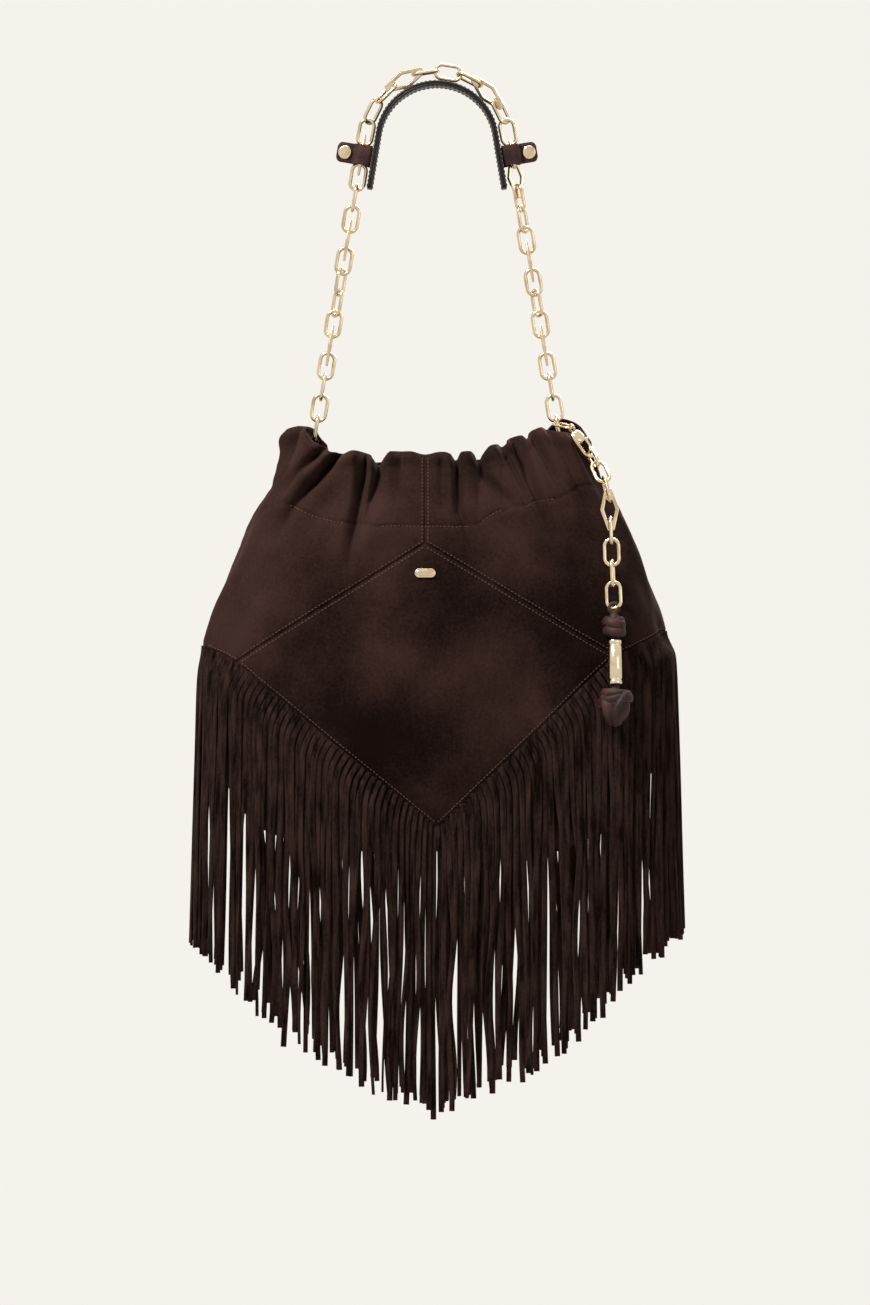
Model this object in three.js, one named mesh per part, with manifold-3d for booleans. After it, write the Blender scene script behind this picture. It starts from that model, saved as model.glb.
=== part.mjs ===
// Fringed suede shoulder bag, hung by its handle.
// Millimetres, +Z up, +X to the wearer's right of the front, front face towards -Y.
// Origin: underside of the shoulder pad at the top of its arch, where the bag is hung.
import * as THREE from "three";
import { mergeVertices } from "three/addons/utils/BufferGeometryUtils.js";
import Module from "manifold-3d";

const wasm = await Module();
wasm.setup();

// Clearances
const GAP = 0.3; // between pieces that touch on the real bag
const LINK_GAP = 0.85; // slack where two links of the strap meet
const JOIN = 0.3; // how far two links of the joined chain bite into each other

// Chain
const PITCH = 16.3; // from one meeting point to the next
const WIRE = 2.8;
const OVAL_WIDTH = 13.6;
const HEX_LENGTH = 32.5;
const HEX_WIDTH = 14.5;
const HEX_END_WIDTH = 5;
const HEX_HOLE_WIDTH = 8.6;
const HEX_HOLE_END_WIDTH = 4;
const HEX_THICKNESS = 3;
const HEX_TIP_TAPER = 0.4; // share of the thickness lost at the two ends
const WIRE_SIDES = 6;
const LINK_STEPS = 10;

// Shoulder pad
const PAD_INNER_RADIUS = 43.3;
const PAD_THICKNESS = 3.8;
const PAD_WIDTH = 26;
const PAD_LEG = 43;
const LEG_SPLAY = THREE.MathUtils.degToRad(9.5);
const PAD_ARC_STEPS = 14;

// Snap tabs
const TAB_HEIGHT = 15.5;
const TAB_LEATHER = 1.8;
const TAB_BORE = 8; // half depth of the loop that holds the chain
const TAB_OUTWARD = 5.7; // from the chain to the inside of the loop, away from the pad
const TAB_TONGUE = 19.3; // from the chain to the tip
const TAB_CORNER = 4;
const TAB_UP_LEG = 25.3; // tab centre, measured up the leg from the end of the pad's chain
const SNAP_RADIUS = 5.3;
const SNAP_BACK_RADIUS = 4.4;
const SNAP_POST_RADIUS = 1.6;
const SNAP_CAP = 1.5;
const SNAP_FROM_TIP = 6.2;

// Bag body
const BAG_WIDTH = 356;
const BAG_DEPTH = 132;
const BAG_HEIGHT = 323; // from the corners of the mouth to the foot
const MOUTH_BELOW_STRAP = 7.3; // from the strap's last meeting point down to the corners of the mouth
const MOUTH_PAST_STRAP = 21.8; // from the same point out to those corners
const MOUTH_DEPTH = 44;
// Outline below the mouth, down to the foot: shares of the height, of the width and of the depth
const BODY_PROFILE = [
  [0.118, 0.702, 0.576],
  [0.195, 0.781, 0.712],
  [0.279, 0.851, 0.818],
  [0.365, 0.91, 0.894],
  [0.452, 0.966, 0.955],
  [0.539, 1, 0.985],
  [0.638, 1, 1],
  [0.752, 0.966, 0.97],
  [0.861, 0.899, 0.848],
  [0.944, 0.781, 0.636],
  [1, 0.539, 0.212],
];
const BODY_SQUARENESS = 2.6; // superellipse power of the plan section
const BODY_COLUMNS = 40;
const LINING_COLUMNS = 16;
const SUEDE = 1.8;
const LINING = 0.8;
const FACING = 88; // from the mouth down to the top edge of the lining
const RIM_SAG = 20; // how far the mouth hangs between the two anchors
const PLEATS = 11;
const PLEAT_DEPTH = 4.2;
const PLEAT_LENGTH = 83; // from the mouth down to where the gathers have run out

// Seams
const CENTRE_SEAM_X = -9;
const APEX_DROP = 89; // from the mouth to the top of the lozenge
const LEFT_CORNER_DROP = 179.6;
const LEFT_CORNER_FROM_SIDE = 24;
const RIGHT_CORNER_DROP = 175;
const RIGHT_CORNER_FROM_SIDE = 43;
const FOOT_SEAM_RISE = 17; // of the lozenge's lowest point above the foot
const LEFT_SIDE_RISE = 0.5; // slope of the seam from the lozenge's corner to the side
const RIGHT_SIDE_RISE = 0.46;
const BODY_CLEAR = 260; // anything wider, deeper or lower than the bag

// Fringe
const FRINGE_THICKNESS = 1.2;
const FRINGE_LENGTH = 222;
const FRINGE_HEADER = 12;
const FRINGE_FLARE = 8; // how far the tips stand out from the seam
const STRAND_PITCH = 12.5;
const STRAND_SLIT = 1.6; // open width between two strands
const FRINGE_OFF_BODY = 0.9;

// Plaque
const PLAQUE_WIDTH = 16;
const PLAQUE_HEIGHT = 7;
const PLAQUE_THICKNESS = 1.4;
const PLAQUE_BELOW_APEX = 23;

// Anchors
const ANCHOR_TAB_WIDTH = 5;
const ANCHOR_TAB_LEATHER = 1.4;
const ANCHOR_TAB_SLACK = 1.1; // between the ring and the leather round it
const ANCHOR_SEAT_DROP = 42; // from the mouth down to where the tab is sewn to the side of the bag

// Charm
const RING_WIRE = 2.2;
const RING_LENGTH = 23;
const RING_WIDTH = 9.6;
const RING_HEADING = [0.6, -0.76, -0.2];
const EYELET_RADIUS = 2.8;
const EYELET_WIRE = 1.8;
const CLASP_HALF_WIDTH = 6;
const CLASP_BAR = 2.6;
const CLASP_THICKNESS = 3;
const CLASP_SLACK = 1.7; // how far the first link stands up from the hook
const CLASP_SHOULDER = 11;
const CLASP_HOLE_END = 25;
const CLASP_BOSS = [4.6, 6.5, 1.4];
const GATE_WIDTH = 2.2;
const GATE_THICKNESS = 2.4;
const GATE_END = 19.6;
const GATE_LEVER = 2.2;
// Turns of the charm's line, from the clasp's eyelet
const CHARM_TURNS = [
  [13.3, -4.5, -18.9],
  [18.6, -15.5, -26.9],
  [24.6, -26.5, -40.9],
  [28.1, -32.5, -56.9],
  [29.1, -34.5, -73.9],
  [30.1, -36.5, -101.9],
  [31.6, -39.0, -136.9],
  [32.6, -53.0, -215.9],
];
const CHARM_CLEAR = 12; // from the suede to the charm's line where it comes nearest
const CHARM_LINKS = 8;
const CHARM_TURN = 4; // degrees from one link to the next
const CHARM_HEX = 3; // the link of the charm that is a long hexagon, counted from 0
const CORD_RADIUS = 2.9;
const CORD_LOOP_RADIUS = 3.6;
const CORD_LOOP_WIRE = 3;
const UPPER_KNOT = { at: 16, half: [10.5, 9.5, 9] };
const LOWER_KNOT = { at: 77.5, half: [15, 16, 12.5] };
const BEAD_RADIUS = 5.4;
const BEAD_LENGTH = 34.5;
const BEAD_MIDDLE = 43.6;
const BEAD_GROOVE = 0.5;
const BEAD_GROOVE_FROM_END = 4;

const materials = {
  suede: new THREE.MeshStandardMaterial({ color: 0x3a2620, roughness: 0.95, metalness: 0 }),
  lining: new THREE.MeshStandardMaterial({ color: 0x4a3a30, roughness: 0.9, metalness: 0 }),
  padLeather: new THREE.MeshStandardMaterial({ color: 0x2a2426, roughness: 0.5, metalness: 0 }),
  leather: new THREE.MeshStandardMaterial({ color: 0x48302c, roughness: 0.5, metalness: 0 }),
  gilt: new THREE.MeshStandardMaterial({ color: 0xd9bf8a, roughness: 0.2, metalness: 1 }),
};

const bag = new THREE.Group();

// Solids

function solidOf(geometry) {
  const bare = geometry.clone();
  for (const name of Object.keys(bare.attributes)) {
    if (name !== "position") bare.deleteAttribute(name);
  }
  const merged = mergeVertices(bare, 1e-3);
  const corners = Array.from(merged.index.array);
  const faces = [];
  for (let i = 0; i < corners.length; i += 3) {
    const [a, b, c] = corners.slice(i, i + 3);
    if (a !== b && b !== c && c !== a) faces.push(a, b, c);
  }
  return new wasm.Manifold(
    new wasm.Mesh({
      numProp: 3,
      vertProperties: new Float32Array(merged.attributes.position.array),
      triVerts: new Uint32Array(faces),
    }),
  );
}

function geometryOf(solid) {
  const mesh = solid.getMesh();
  const geometry = new THREE.BufferGeometry();
  geometry.setAttribute("position", new THREE.BufferAttribute(mesh.vertProperties, 3));
  geometry.setIndex(new THREE.BufferAttribute(mesh.triVerts, 1));
  return geometry;
}

function addPiece(name, geometry, material, matrix = new THREE.Matrix4()) {
  const mesh = new THREE.Mesh(geometryOf(solidOf(geometry)), material);
  mesh.name = name;
  mesh.applyMatrix4(matrix);
  bag.add(mesh);
}

// A closed solid through a stack of closed rings, with a fan over each end.
function loft(rings) {
  const columns = rings[0].length;
  const points = rings.flat();
  const faces = [];
  rings.slice(1).forEach((_, row) => {
    for (let column = 0; column < columns; column++) {
      const next = (column + 1) % columns;
      const low = row * columns;
      const high = low + columns;
      faces.push(low + column, low + next, high + next);
      faces.push(low + column, high + next, high + column);
    }
  });
  const capCentre = (ring) =>
    ring.reduce((sum, point) => sum.add(point), new THREE.Vector3()).divideScalar(columns);
  const foot = points.push(capCentre(rings[0])) - 1;
  const head = points.push(capCentre(rings.at(-1))) - 1;
  const top = (rings.length - 1) * columns;
  for (let column = 0; column < columns; column++) {
    const next = (column + 1) % columns;
    faces.push(foot, next, column);
    faces.push(head, top + column, top + next);
  }
  const geometry = new THREE.BufferGeometry().setFromPoints(points);
  geometry.setIndex(faces);
  return geometry;
}

// A flat outline drawn in X and Z, extruded along Y between two depths.
function standing(shape, front, back, steps = 12) {
  const geometry = new THREE.ExtrudeGeometry(shape, {
    depth: back - front,
    bevelEnabled: false,
    curveSegments: steps,
  });
  return geometry.rotateX(Math.PI / 2).translate(0, back, 0);
}

// The outline moved inwards by a distance; corners stay sharp.
function inset(outline, distance) {
  const points = outline.map(([x, z]) => new THREE.Vector2(x, z));
  const turn = Math.sign(THREE.ShapeUtils.area(points));
  return points.map((point, i) => {
    const before = points.at(i - 1);
    const after = points[(i + 1) % points.length];
    const into = point.clone().sub(before).normalize();
    const out = after.clone().sub(point).normalize();
    const half = into.clone().add(out).normalize();
    const normal = new THREE.Vector2(-half.y, half.x).multiplyScalar(turn);
    const along = normal.dot(new THREE.Vector2(-into.y, into.x).multiplyScalar(turn));
    return point.clone().addScaledVector(normal, distance / along);
  });
}

// Chain links, long axis on Y, width on X

function ovalLink(length, width, wire) {
  const geometry = new THREE.TorusGeometry((width - wire) / 2, wire / 2, WIRE_SIDES, LINK_STEPS);
  geometry.rotateZ(Math.PI / LINK_STEPS);
  const stretch = (length - width) / 2;
  const position = geometry.attributes.position;
  for (let i = 0; i < position.count; i++) {
    const y = position.getY(i);
    position.setY(i, y + Math.sign(y) * stretch);
  }
  return geometry;
}

function longHexagon(length, width, endWidth) {
  return [
    [width / 2, 0],
    [endWidth / 2, length / 2],
    [-endWidth / 2, length / 2],
    [-width / 2, 0],
    [-endWidth / 2, -length / 2],
    [endWidth / 2, -length / 2],
  ].map(([x, y]) => new THREE.Vector2(x, y));
}

function hexLink() {
  const bevel = 0.7;
  const shape = new THREE.Shape(longHexagon(HEX_LENGTH, HEX_WIDTH, HEX_END_WIDTH));
  const hole = longHexagon(HEX_HOLE_LENGTH, HEX_HOLE_WIDTH, HEX_HOLE_END_WIDTH);
  shape.holes.push(new THREE.Path(hole.reverse()));
  const geometry = new THREE.ExtrudeGeometry(shape, {
    depth: HEX_THICKNESS - 2 * bevel,
    bevelThickness: bevel,
    bevelSize: bevel,
    bevelOffset: -bevel,
    bevelSegments: 1,
    curveSegments: 1,
  });
  geometry.translate(0, 0, bevel - HEX_THICKNESS / 2);
  const position = geometry.attributes.position;
  for (let i = 0; i < position.count; i++) {
    const towardsTip = Math.abs(position.getY(i)) / (HEX_LENGTH / 2);
    position.setZ(i, position.getZ(i) * (1 - HEX_TIP_TAPER * towardsTip));
  }
  return geometry;
}

const OVAL_LENGTH = PITCH + LINK_GAP + 2 * WIRE;
const HEX_HOLE_LENGTH = PITCH + LINK_GAP;
const OVAL = ovalLink(OVAL_LENGTH, OVAL_WIDTH, WIRE);
const HEX = hexLink();

const degrees = THREE.MathUtils.degToRad;

// The frame of a link between two points: Y runs from start to end, X turns round it by the twist.
function linkMatrix(start, end, across, twist) {
  const along = end.clone().sub(start).normalize();
  const normal = across.clone().cross(along).normalize();
  const width = along.clone().cross(normal).applyAxisAngle(along, twist);
  const matrix = new THREE.Matrix4().makeBasis(width, along, width.clone().cross(along));
  return matrix.setPosition(start.clone().add(end).multiplyScalar(0.5));
}

// Strap line: over the pad in an arc, then straight down both legs. Distance 0 is the top, + to the right.
const padOuterRadius = PAD_INNER_RADIUS + PAD_THICKNESS;
const halfLink = Math.max(OVAL_WIDTH, HEX_WIDTH) / 2;
const linkSagitta = PITCH ** 2 / (8 * (padOuterRadius + halfLink)); // a straight link dips inside its arc
const chainOffPad = GAP + halfLink + linkSagitta;
const strapRadius = padOuterRadius + chainOffPad;
const arcHalfAngle = Math.PI / 2 - LEG_SPLAY;
const arcHalfLength = strapRadius * arcHalfAngle;
const arcCentreZ = -PAD_INNER_RADIUS;
const legDirection = new THREE.Vector3(Math.sin(LEG_SPLAY), 0, -Math.cos(LEG_SPLAY));

function strapPoint(distance) {
  const side = Math.sign(distance) || 1;
  const away = Math.abs(distance);
  const angle = Math.min(away / strapRadius, arcHalfAngle);
  const point = new THREE.Vector3(
    strapRadius * Math.sin(angle),
    0,
    arcCentreZ + strapRadius * Math.cos(angle),
  );
  if (away > arcHalfLength) point.addScaledVector(legDirection, away - arcHalfLength);
  return point.setX(point.x * side);
}

function strapLinkMatrix(distance, twist) {
  const start = strapPoint(distance - PITCH / 2);
  const end = strapPoint(distance + PITCH / 2);
  const along = end.clone().sub(start);
  const across = along.clone().cross(new THREE.Vector3(0, 1, 0));
  return linkMatrix(start, end, across, degrees(twist));
}

// The links from the left run over the pad to the right run, each turned so far from facing the front.
const OVER_PAD = [
  [OVAL, 0],
  [HEX, 90],
  [OVAL, 0],
  [OVAL, 45],
  [OVAL, 110],
  [HEX, 10],
  [OVAL, 90],
  [OVAL, 0],
  [OVAL, 75],
  [HEX, 15],
  [OVAL, 130],
  [OVAL, 0],
  [OVAL, 90],
  [HEX, 150],
];

// The links of each run, from the pad down to the bag.
const LEFT_RUN = [
  [OVAL, 90],
  [OVAL, 0],
  [HEX, 90],
  [OVAL, 0],
  [OVAL, 60],
  [OVAL, 120],
  [OVAL, 0],
  [HEX, 90],
  [OVAL, 0],
  [OVAL, 90],
  [OVAL, 0],
];
const RIGHT_RUN = [
  [OVAL, 60],
  [OVAL, 120],
  [OVAL, 0],
  [HEX, 90],
  [OVAL, 0],
  [OVAL, 60],
  [OVAL, 0],
  [HEX, 90],
  [OVAL, 0],
  [OVAL, 90],
  [OVAL, 0],
];
const ANCHOR_TWIST = 90;

const joinedPitch = PITCH + LINK_GAP + JOIN;
const padChainLength = PITCH + (OVER_PAD.length - 1) * joinedPitch;
const runStart = padChainLength / 2;
const runEnd = runStart + LEFT_RUN.length * PITCH;
const anchorDistance = runEnd + PITCH / 2;
const strapEnd = strapPoint(runEnd);

function chainOverPad() {
  const links = OVER_PAD.map(([link, twist], i) => {
    const distance = PITCH / 2 + i * joinedPitch - runStart;
    return solidOf(link.clone().applyMatrix4(strapLinkMatrix(distance, twist)));
  });
  const chain = links.reduce((joined, link) => joined.add(link));
  addPiece("chain_over_pad", geometryOf(chain), materials.gilt);
}

function strapRuns() {
  const runs = [
    ["left", -1, LEFT_RUN],
    ["right", 1, RIGHT_RUN],
  ];
  for (const [label, side, links] of runs) {
    links.forEach(([link, twist], i) => {
      const name = `strap_${label}_${String(i + 1).padStart(2, "0")}`;
      const distance = side * (runStart + (i + 0.5) * PITCH);
      addPiece(name, link, materials.gilt, strapLinkMatrix(distance, twist));
    });
  }
}

// Shoulder pad: a bent leather band, drawn from the front
function shoulderPad() {
  const shape = new THREE.Shape();
  const from = Math.PI / 2 - arcHalfAngle;
  const legEnd = (radius, side) =>
    new THREE.Vector2(
      side * (radius * Math.sin(arcHalfAngle) + PAD_LEG * Math.sin(LEG_SPLAY)),
      arcCentreZ + radius * Math.cos(arcHalfAngle) - PAD_LEG * Math.cos(LEG_SPLAY),
    );
  const outerRight = legEnd(padOuterRadius, 1);
  const innerLeft = legEnd(PAD_INNER_RADIUS, -1);
  shape.moveTo(outerRight.x, outerRight.y);
  shape.absarc(0, arcCentreZ, padOuterRadius, from, Math.PI - from, false);
  shape.lineTo(-outerRight.x, outerRight.y);
  shape.lineTo(innerLeft.x, innerLeft.y);
  shape.absarc(0, arcCentreZ, PAD_INNER_RADIUS, Math.PI - from, from, true);
  shape.lineTo(-innerLeft.x, innerLeft.y);
  addPiece(
    "shoulder_pad",
    standing(shape, -PAD_WIDTH / 2, PAD_WIDTH / 2, PAD_ARC_STEPS),
    materials.padLeather,
  );
}

// Snap tabs: a leather loop round the chain, its two ends pressed together in a tongue.
// Local X runs out from the pad, Y is the bag's Y and Z runs up the leg.
function tabMatrix(side) {
  const up = new THREE.Vector3(-side * legDirection.x, 0, -legDirection.z);
  const out = new THREE.Vector3(-side * legDirection.z, 0, legDirection.x);
  const chain = strapPoint(side * (runStart - TAB_UP_LEG));
  const matrix = new THREE.Matrix4().makeBasis(out, up.clone().cross(out), up);
  return matrix.setPosition(chain.addScaledVector(out, -chainOffPad));
}

const tabReach = chainOffPad + TAB_TONGUE;

function snapTab() {
  const outer = TAB_BORE + TAB_LEATHER;
  const half = TAB_LEATHER;
  const outerBreak = Math.asin(half / outer);
  const outward = TAB_OUTWARD + TAB_LEATHER;
  const loop = new THREE.Shape();
  loop.moveTo(GAP, -outer);
  loop.absellipse(chainOffPad, 0, outward, outer, -Math.PI / 2, -outerBreak, false, 0);
  loop.lineTo(tabReach, -half);
  loop.lineTo(tabReach, half);
  loop.absellipse(chainOffPad, 0, outward, outer, outerBreak, Math.PI / 2, false, 0);
  loop.lineTo(GAP, outer);
  loop.lineTo(GAP, TAB_BORE);
  loop.absellipse(chainOffPad, 0, TAB_OUTWARD, TAB_BORE, Math.PI / 2, -Math.PI / 2, true, 0);
  loop.lineTo(GAP, -TAB_BORE);
  const body = new THREE.ExtrudeGeometry(loop, {
    depth: TAB_HEIGHT,
    bevelEnabled: false,
    curveSegments: 6,
  }).translate(0, 0, -TAB_HEIGHT / 2);

  const edge = TAB_HEIGHT / 2;
  const cornerX = tabReach - TAB_CORNER;
  const rounded = new THREE.Shape();
  rounded.moveTo(0, -edge);
  rounded.absarc(cornerX, TAB_CORNER - edge, TAB_CORNER, -Math.PI / 2, 0, false);
  rounded.absarc(cornerX, edge - TAB_CORNER, TAB_CORNER, 0, Math.PI / 2, false);
  rounded.lineTo(0, edge);
  const blank = standing(rounded, -2 * outer, 2 * outer, 4);

  const holeRadius = SNAP_POST_RADIUS + GAP;
  const hole = new THREE.CylinderGeometry(holeRadius, holeRadius, 8 * TAB_LEATHER, 12);
  hole.translate(tabReach - SNAP_FROM_TIP, 0, 0);
  return geometryOf(solidOf(body).intersect(solidOf(blank)).subtract(solidOf(hole)));
}

// One press stud: domed cap in front, post through the tongue, flat stud behind.
function pressStud() {
  const face = TAB_LEATHER + GAP;
  const profile = [
    [0, -face - SNAP_CAP],
    [SNAP_RADIUS * 0.7, -face - SNAP_CAP * 0.8],
    [SNAP_RADIUS, -face - SNAP_CAP * 0.35],
    [SNAP_RADIUS, -face],
    [SNAP_POST_RADIUS, -face],
    [SNAP_POST_RADIUS, face],
    [SNAP_BACK_RADIUS, face],
    [SNAP_BACK_RADIUS, face + SNAP_CAP * 0.7],
    [0, face + SNAP_CAP * 0.7],
  ].map(([radius, y]) => new THREE.Vector2(radius, y));
  return new THREE.LatheGeometry(profile, 12).translate(tabReach - SNAP_FROM_TIP, 0, 0);
}

function snapTabs() {
  const tab = snapTab();
  const stud = pressStud();
  for (const [label, side] of [
    ["left", -1],
    ["right", 1],
  ]) {
    const matrix = tabMatrix(side);
    const front = matrix.clone();
    if (side < 0) front.multiply(new THREE.Matrix4().makeRotationX(Math.PI));
    addPiece(`${label}_snap_tab`, tab, materials.leather, matrix);
    addPiece(`${label}_press_stud`, stud, materials.gilt, front);
  }
}

// Bag body: its levels from the mouth down, as height, half width and half depth

const mouthZ = strapEnd.z - MOUTH_BELOW_STRAP;
const BODY_LEVELS = [
  [mouthZ, strapEnd.x + MOUTH_PAST_STRAP, MOUTH_DEPTH / 2],
  ...BODY_PROFILE.map(([drop, width, depth]) => [
    mouthZ - drop * BAG_HEIGHT,
    (width * BAG_WIDTH) / 2,
    (depth * BAG_DEPTH) / 2,
  ]),
];

// Corners of the seams as seen from the front: [x, z]
const APEX = [CENTRE_SEAM_X, mouthZ - APEX_DROP];
const LEFT_CORNER = [LEFT_CORNER_FROM_SIDE - BAG_WIDTH / 2, mouthZ - LEFT_CORNER_DROP];
const RIGHT_CORNER = [BAG_WIDTH / 2 - RIGHT_CORNER_FROM_SIDE, mouthZ - RIGHT_CORNER_DROP];
const FOOT = [0, mouthZ - BAG_HEIGHT + FOOT_SEAM_RISE];

function bodyAt(z) {
  const last = BODY_LEVELS.length - 1;
  const i = THREE.MathUtils.clamp(BODY_LEVELS.findIndex(([level]) => level <= z), 1, last);
  const [z0, a0, b0] = BODY_LEVELS[i - 1];
  const [z1, a1, b1] = BODY_LEVELS[i];
  const t = THREE.MathUtils.clamp((z - z0) / (z1 - z0), 0, 1);
  return { width: a0 + (a1 - a0) * t, depth: b0 + (b1 - b0) * t };
}

function planPoint(angle, width, depth) {
  const power = 2 / BODY_SQUARENESS;
  const cosine = Math.cos(angle);
  const sine = Math.sin(angle);
  return new THREE.Vector2(
    width * Math.sign(cosine) * Math.abs(cosine) ** power,
    depth * Math.sign(sine) * Math.abs(sine) ** power,
  );
}

const pleatShare = (z) => THREE.MathUtils.smoothstep(z, mouthZ - PLEAT_LENGTH, mouthZ);

// One level of the body, drawn in by a distance; gathers and the hanging rim fade in towards the top.
function bodyRing([z, width, depth], inwards, columns) {
  const share = pleatShare(z);
  const plan = Array.from({ length: columns }, (_, column) => {
    const angle = (column / columns) * 2 * Math.PI;
    const point = planPoint(angle, width, depth);
    const wave = Math.cos(PLEATS * angle) * PLEAT_DEPTH * share * Math.abs(Math.sin(angle));
    return point.add(new THREE.Vector2(0, Math.sign(Math.sin(angle)) * wave));
  });
  return plan.map((point, column) => {
    const before = plan.at(column - 1);
    const after = plan[(column + 1) % columns];
    const tangent = after.clone().sub(before).normalize();
    const moved = point.clone().add(new THREE.Vector2(-tangent.y, tangent.x).multiplyScalar(inwards));
    const middle = 1 - Math.min(1, Math.abs(point.x) / width) ** 2;
    return new THREE.Vector3(moved.x, moved.y, z - RIM_SAG * middle * share);
  });
}

// The body as a filled form, drawn in by a distance and floored that much higher; opened at the top if asked.
function bodySolid(inwards, openTop, columns = BODY_COLUMNS) {
  const rings = BODY_LEVELS.map(([z, width, depth], i) => {
    const floor = i === BODY_LEVELS.length - 1 ? inwards : 0;
    return bodyRing([z + floor, width, depth], inwards, columns);
  }).reverse();
  if (openTop) rings.push(rings.at(-1).map((point) => point.clone().setZ(point.z + BODY_CLEAR / 4)));
  return solidOf(loft(rings));
}

const bodyShell = bodySolid(0, false).subtract(bodySolid(SUEDE, true));

// Depth of the front surface at a point seen from the front, gathers included.
function frontDepth(x, z) {
  const { width, depth } = bodyAt(z);
  const inside = Math.max(0, 1 - (Math.abs(x) / width) ** BODY_SQUARENESS);
  return depth * inside ** (1 / BODY_SQUARENESS) + PLEAT_DEPTH * pleatShare(z);
}

// Where the lower seam runs at a given distance from the middle
function lowerSeam(x) {
  const [cornerX, cornerZ] = x < 0 ? LEFT_CORNER : RIGHT_CORNER;
  const rise = x < 0 ? LEFT_SIDE_RISE : RIGHT_SIDE_RISE;
  const away = Math.abs(x) - Math.abs(cornerX);
  if (away > 0) return cornerZ + away * rise;
  return FOOT[1] + ((cornerZ - FOOT[1]) * x) / cornerX;
}

function panel(outline, front, back) {
  const cut = new THREE.Shape(inset(outline, GAP / 2));
  return geometryOf(bodyShell.intersect(solidOf(standing(cut, front, back))));
}

function bodyPanels() {
  const top = mouthZ + BODY_CLEAR;
  const bottom = mouthZ - 2 * BODY_CLEAR;
  const leftEdge = [-BODY_CLEAR, lowerSeam(-BODY_CLEAR)];
  const rightEdge = [BODY_CLEAR, lowerSeam(BODY_CLEAR)];
  const upperLeft = [[APEX[0], top], [-BODY_CLEAR, top], leftEdge, LEFT_CORNER, APEX];
  const upperRight = [[APEX[0], top], APEX, RIGHT_CORNER, rightEdge, [BODY_CLEAR, top]];
  const lozenge = [APEX, LEFT_CORNER, FOOT, RIGHT_CORNER];
  const lower = [
    leftEdge,
    [-BODY_CLEAR, bottom],
    [BODY_CLEAR, bottom],
    rightEdge,
    RIGHT_CORNER,
    FOOT,
    LEFT_CORNER,
  ];
  for (const [label, front, back] of [
    ["front", -BODY_CLEAR, -GAP / 2],
    ["back", GAP / 2, BODY_CLEAR],
  ]) {
    addPiece(`${label}_left_panel`, panel(upperLeft, front, back), materials.suede);
    addPiece(`${label}_right_panel`, panel(upperRight, front, back), materials.suede);
    addPiece(`${label}_lozenge_panel`, panel(lozenge, front, back), materials.suede);
  }
  addPiece("lower_panel", panel(lower, -BODY_CLEAR, BODY_CLEAR), materials.suede);
}

function lining() {
  const outside = SUEDE + 2 * GAP;
  const liningTop = mouthZ - FACING;
  const below = new THREE.Shape([
    new THREE.Vector2(-BODY_CLEAR, liningTop),
    new THREE.Vector2(-BODY_CLEAR, mouthZ - 2 * BODY_CLEAR),
    new THREE.Vector2(BODY_CLEAR, mouthZ - 2 * BODY_CLEAR),
    new THREE.Vector2(BODY_CLEAR, liningTop),
  ]);
  const bagInside = bodySolid(outside, false, LINING_COLUMNS).subtract(
    bodySolid(outside + LINING, true, LINING_COLUMNS),
  );
  const cut = bagInside.intersect(solidOf(standing(below, -BODY_CLEAR, BODY_CLEAR)));
  addPiece("lining", geometryOf(cut), materials.lining);
}

// Fringe: a header sewn in the lower seam, with strands hanging straight from it, clear of the body.

function widestBelow(z) {
  const levels = BODY_LEVELS.filter(([level]) => level <= z);
  const here = bodyAt(z);
  return {
    width: Math.max(here.width, ...levels.map(([, width]) => width)),
    depth: Math.max(here.depth, ...levels.map(([, , depth]) => depth)),
  };
}

// Depth of whatever is in front at a point seen from the front: the body, or the fringe below its seam.
function hangDepth(x, z) {
  const seamZ = lowerSeam(x);
  if (z > seamZ) return frontDepth(x, z);
  const { width, depth } = widestBelow(seamZ);
  const inside = Math.max(0, 1 - (Math.abs(x) / width) ** BODY_SQUARENESS);
  const stand = FRINGE_OFF_BODY + FRINGE_THICKNESS + (FRINGE_FLARE * (seamZ - z)) / FRINGE_LENGTH;
  return depth * inside ** (1 / BODY_SQUARENESS) + stand;
}

// Points on the seam at one plan angle: on the body, and straight below clear of it.
function fringeRoot(angle) {
  let z = FOOT[1];
  let body = bodyAt(z);
  for (let pass = 0; pass < 40; pass++) {
    z = (z + lowerSeam(planPoint(angle, body.width, body.depth).x)) / 2;
    body = bodyAt(z);
  }
  const off = FRINGE_OFF_BODY;
  const clear = widestBelow(z);
  const seam = planPoint(angle, body.width + off, body.depth + off);
  const hang = planPoint(angle, clear.width + off, clear.depth + off);
  const step = 0.02;
  const out = planPoint(angle + step, clear.width, clear.depth)
    .sub(planPoint(angle - step, clear.width, clear.depth))
    .normalize()
    .rotateAround(new THREE.Vector2(), -Math.PI / 2);
  const bulge = [0.25, 0.5, 0.75].map((share) => {
    const level = bodyAt(z - share * FRINGE_HEADER);
    const header = seam.clone().lerp(hang, share);
    return planPoint(angle, level.width, level.depth).sub(header).dot(out) + GAP;
  });
  const push = Math.max(0, ...bulge);
  return { seam: seam.addScaledVector(out, push), hang: hang.addScaledVector(out, push), z, out };
}

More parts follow.
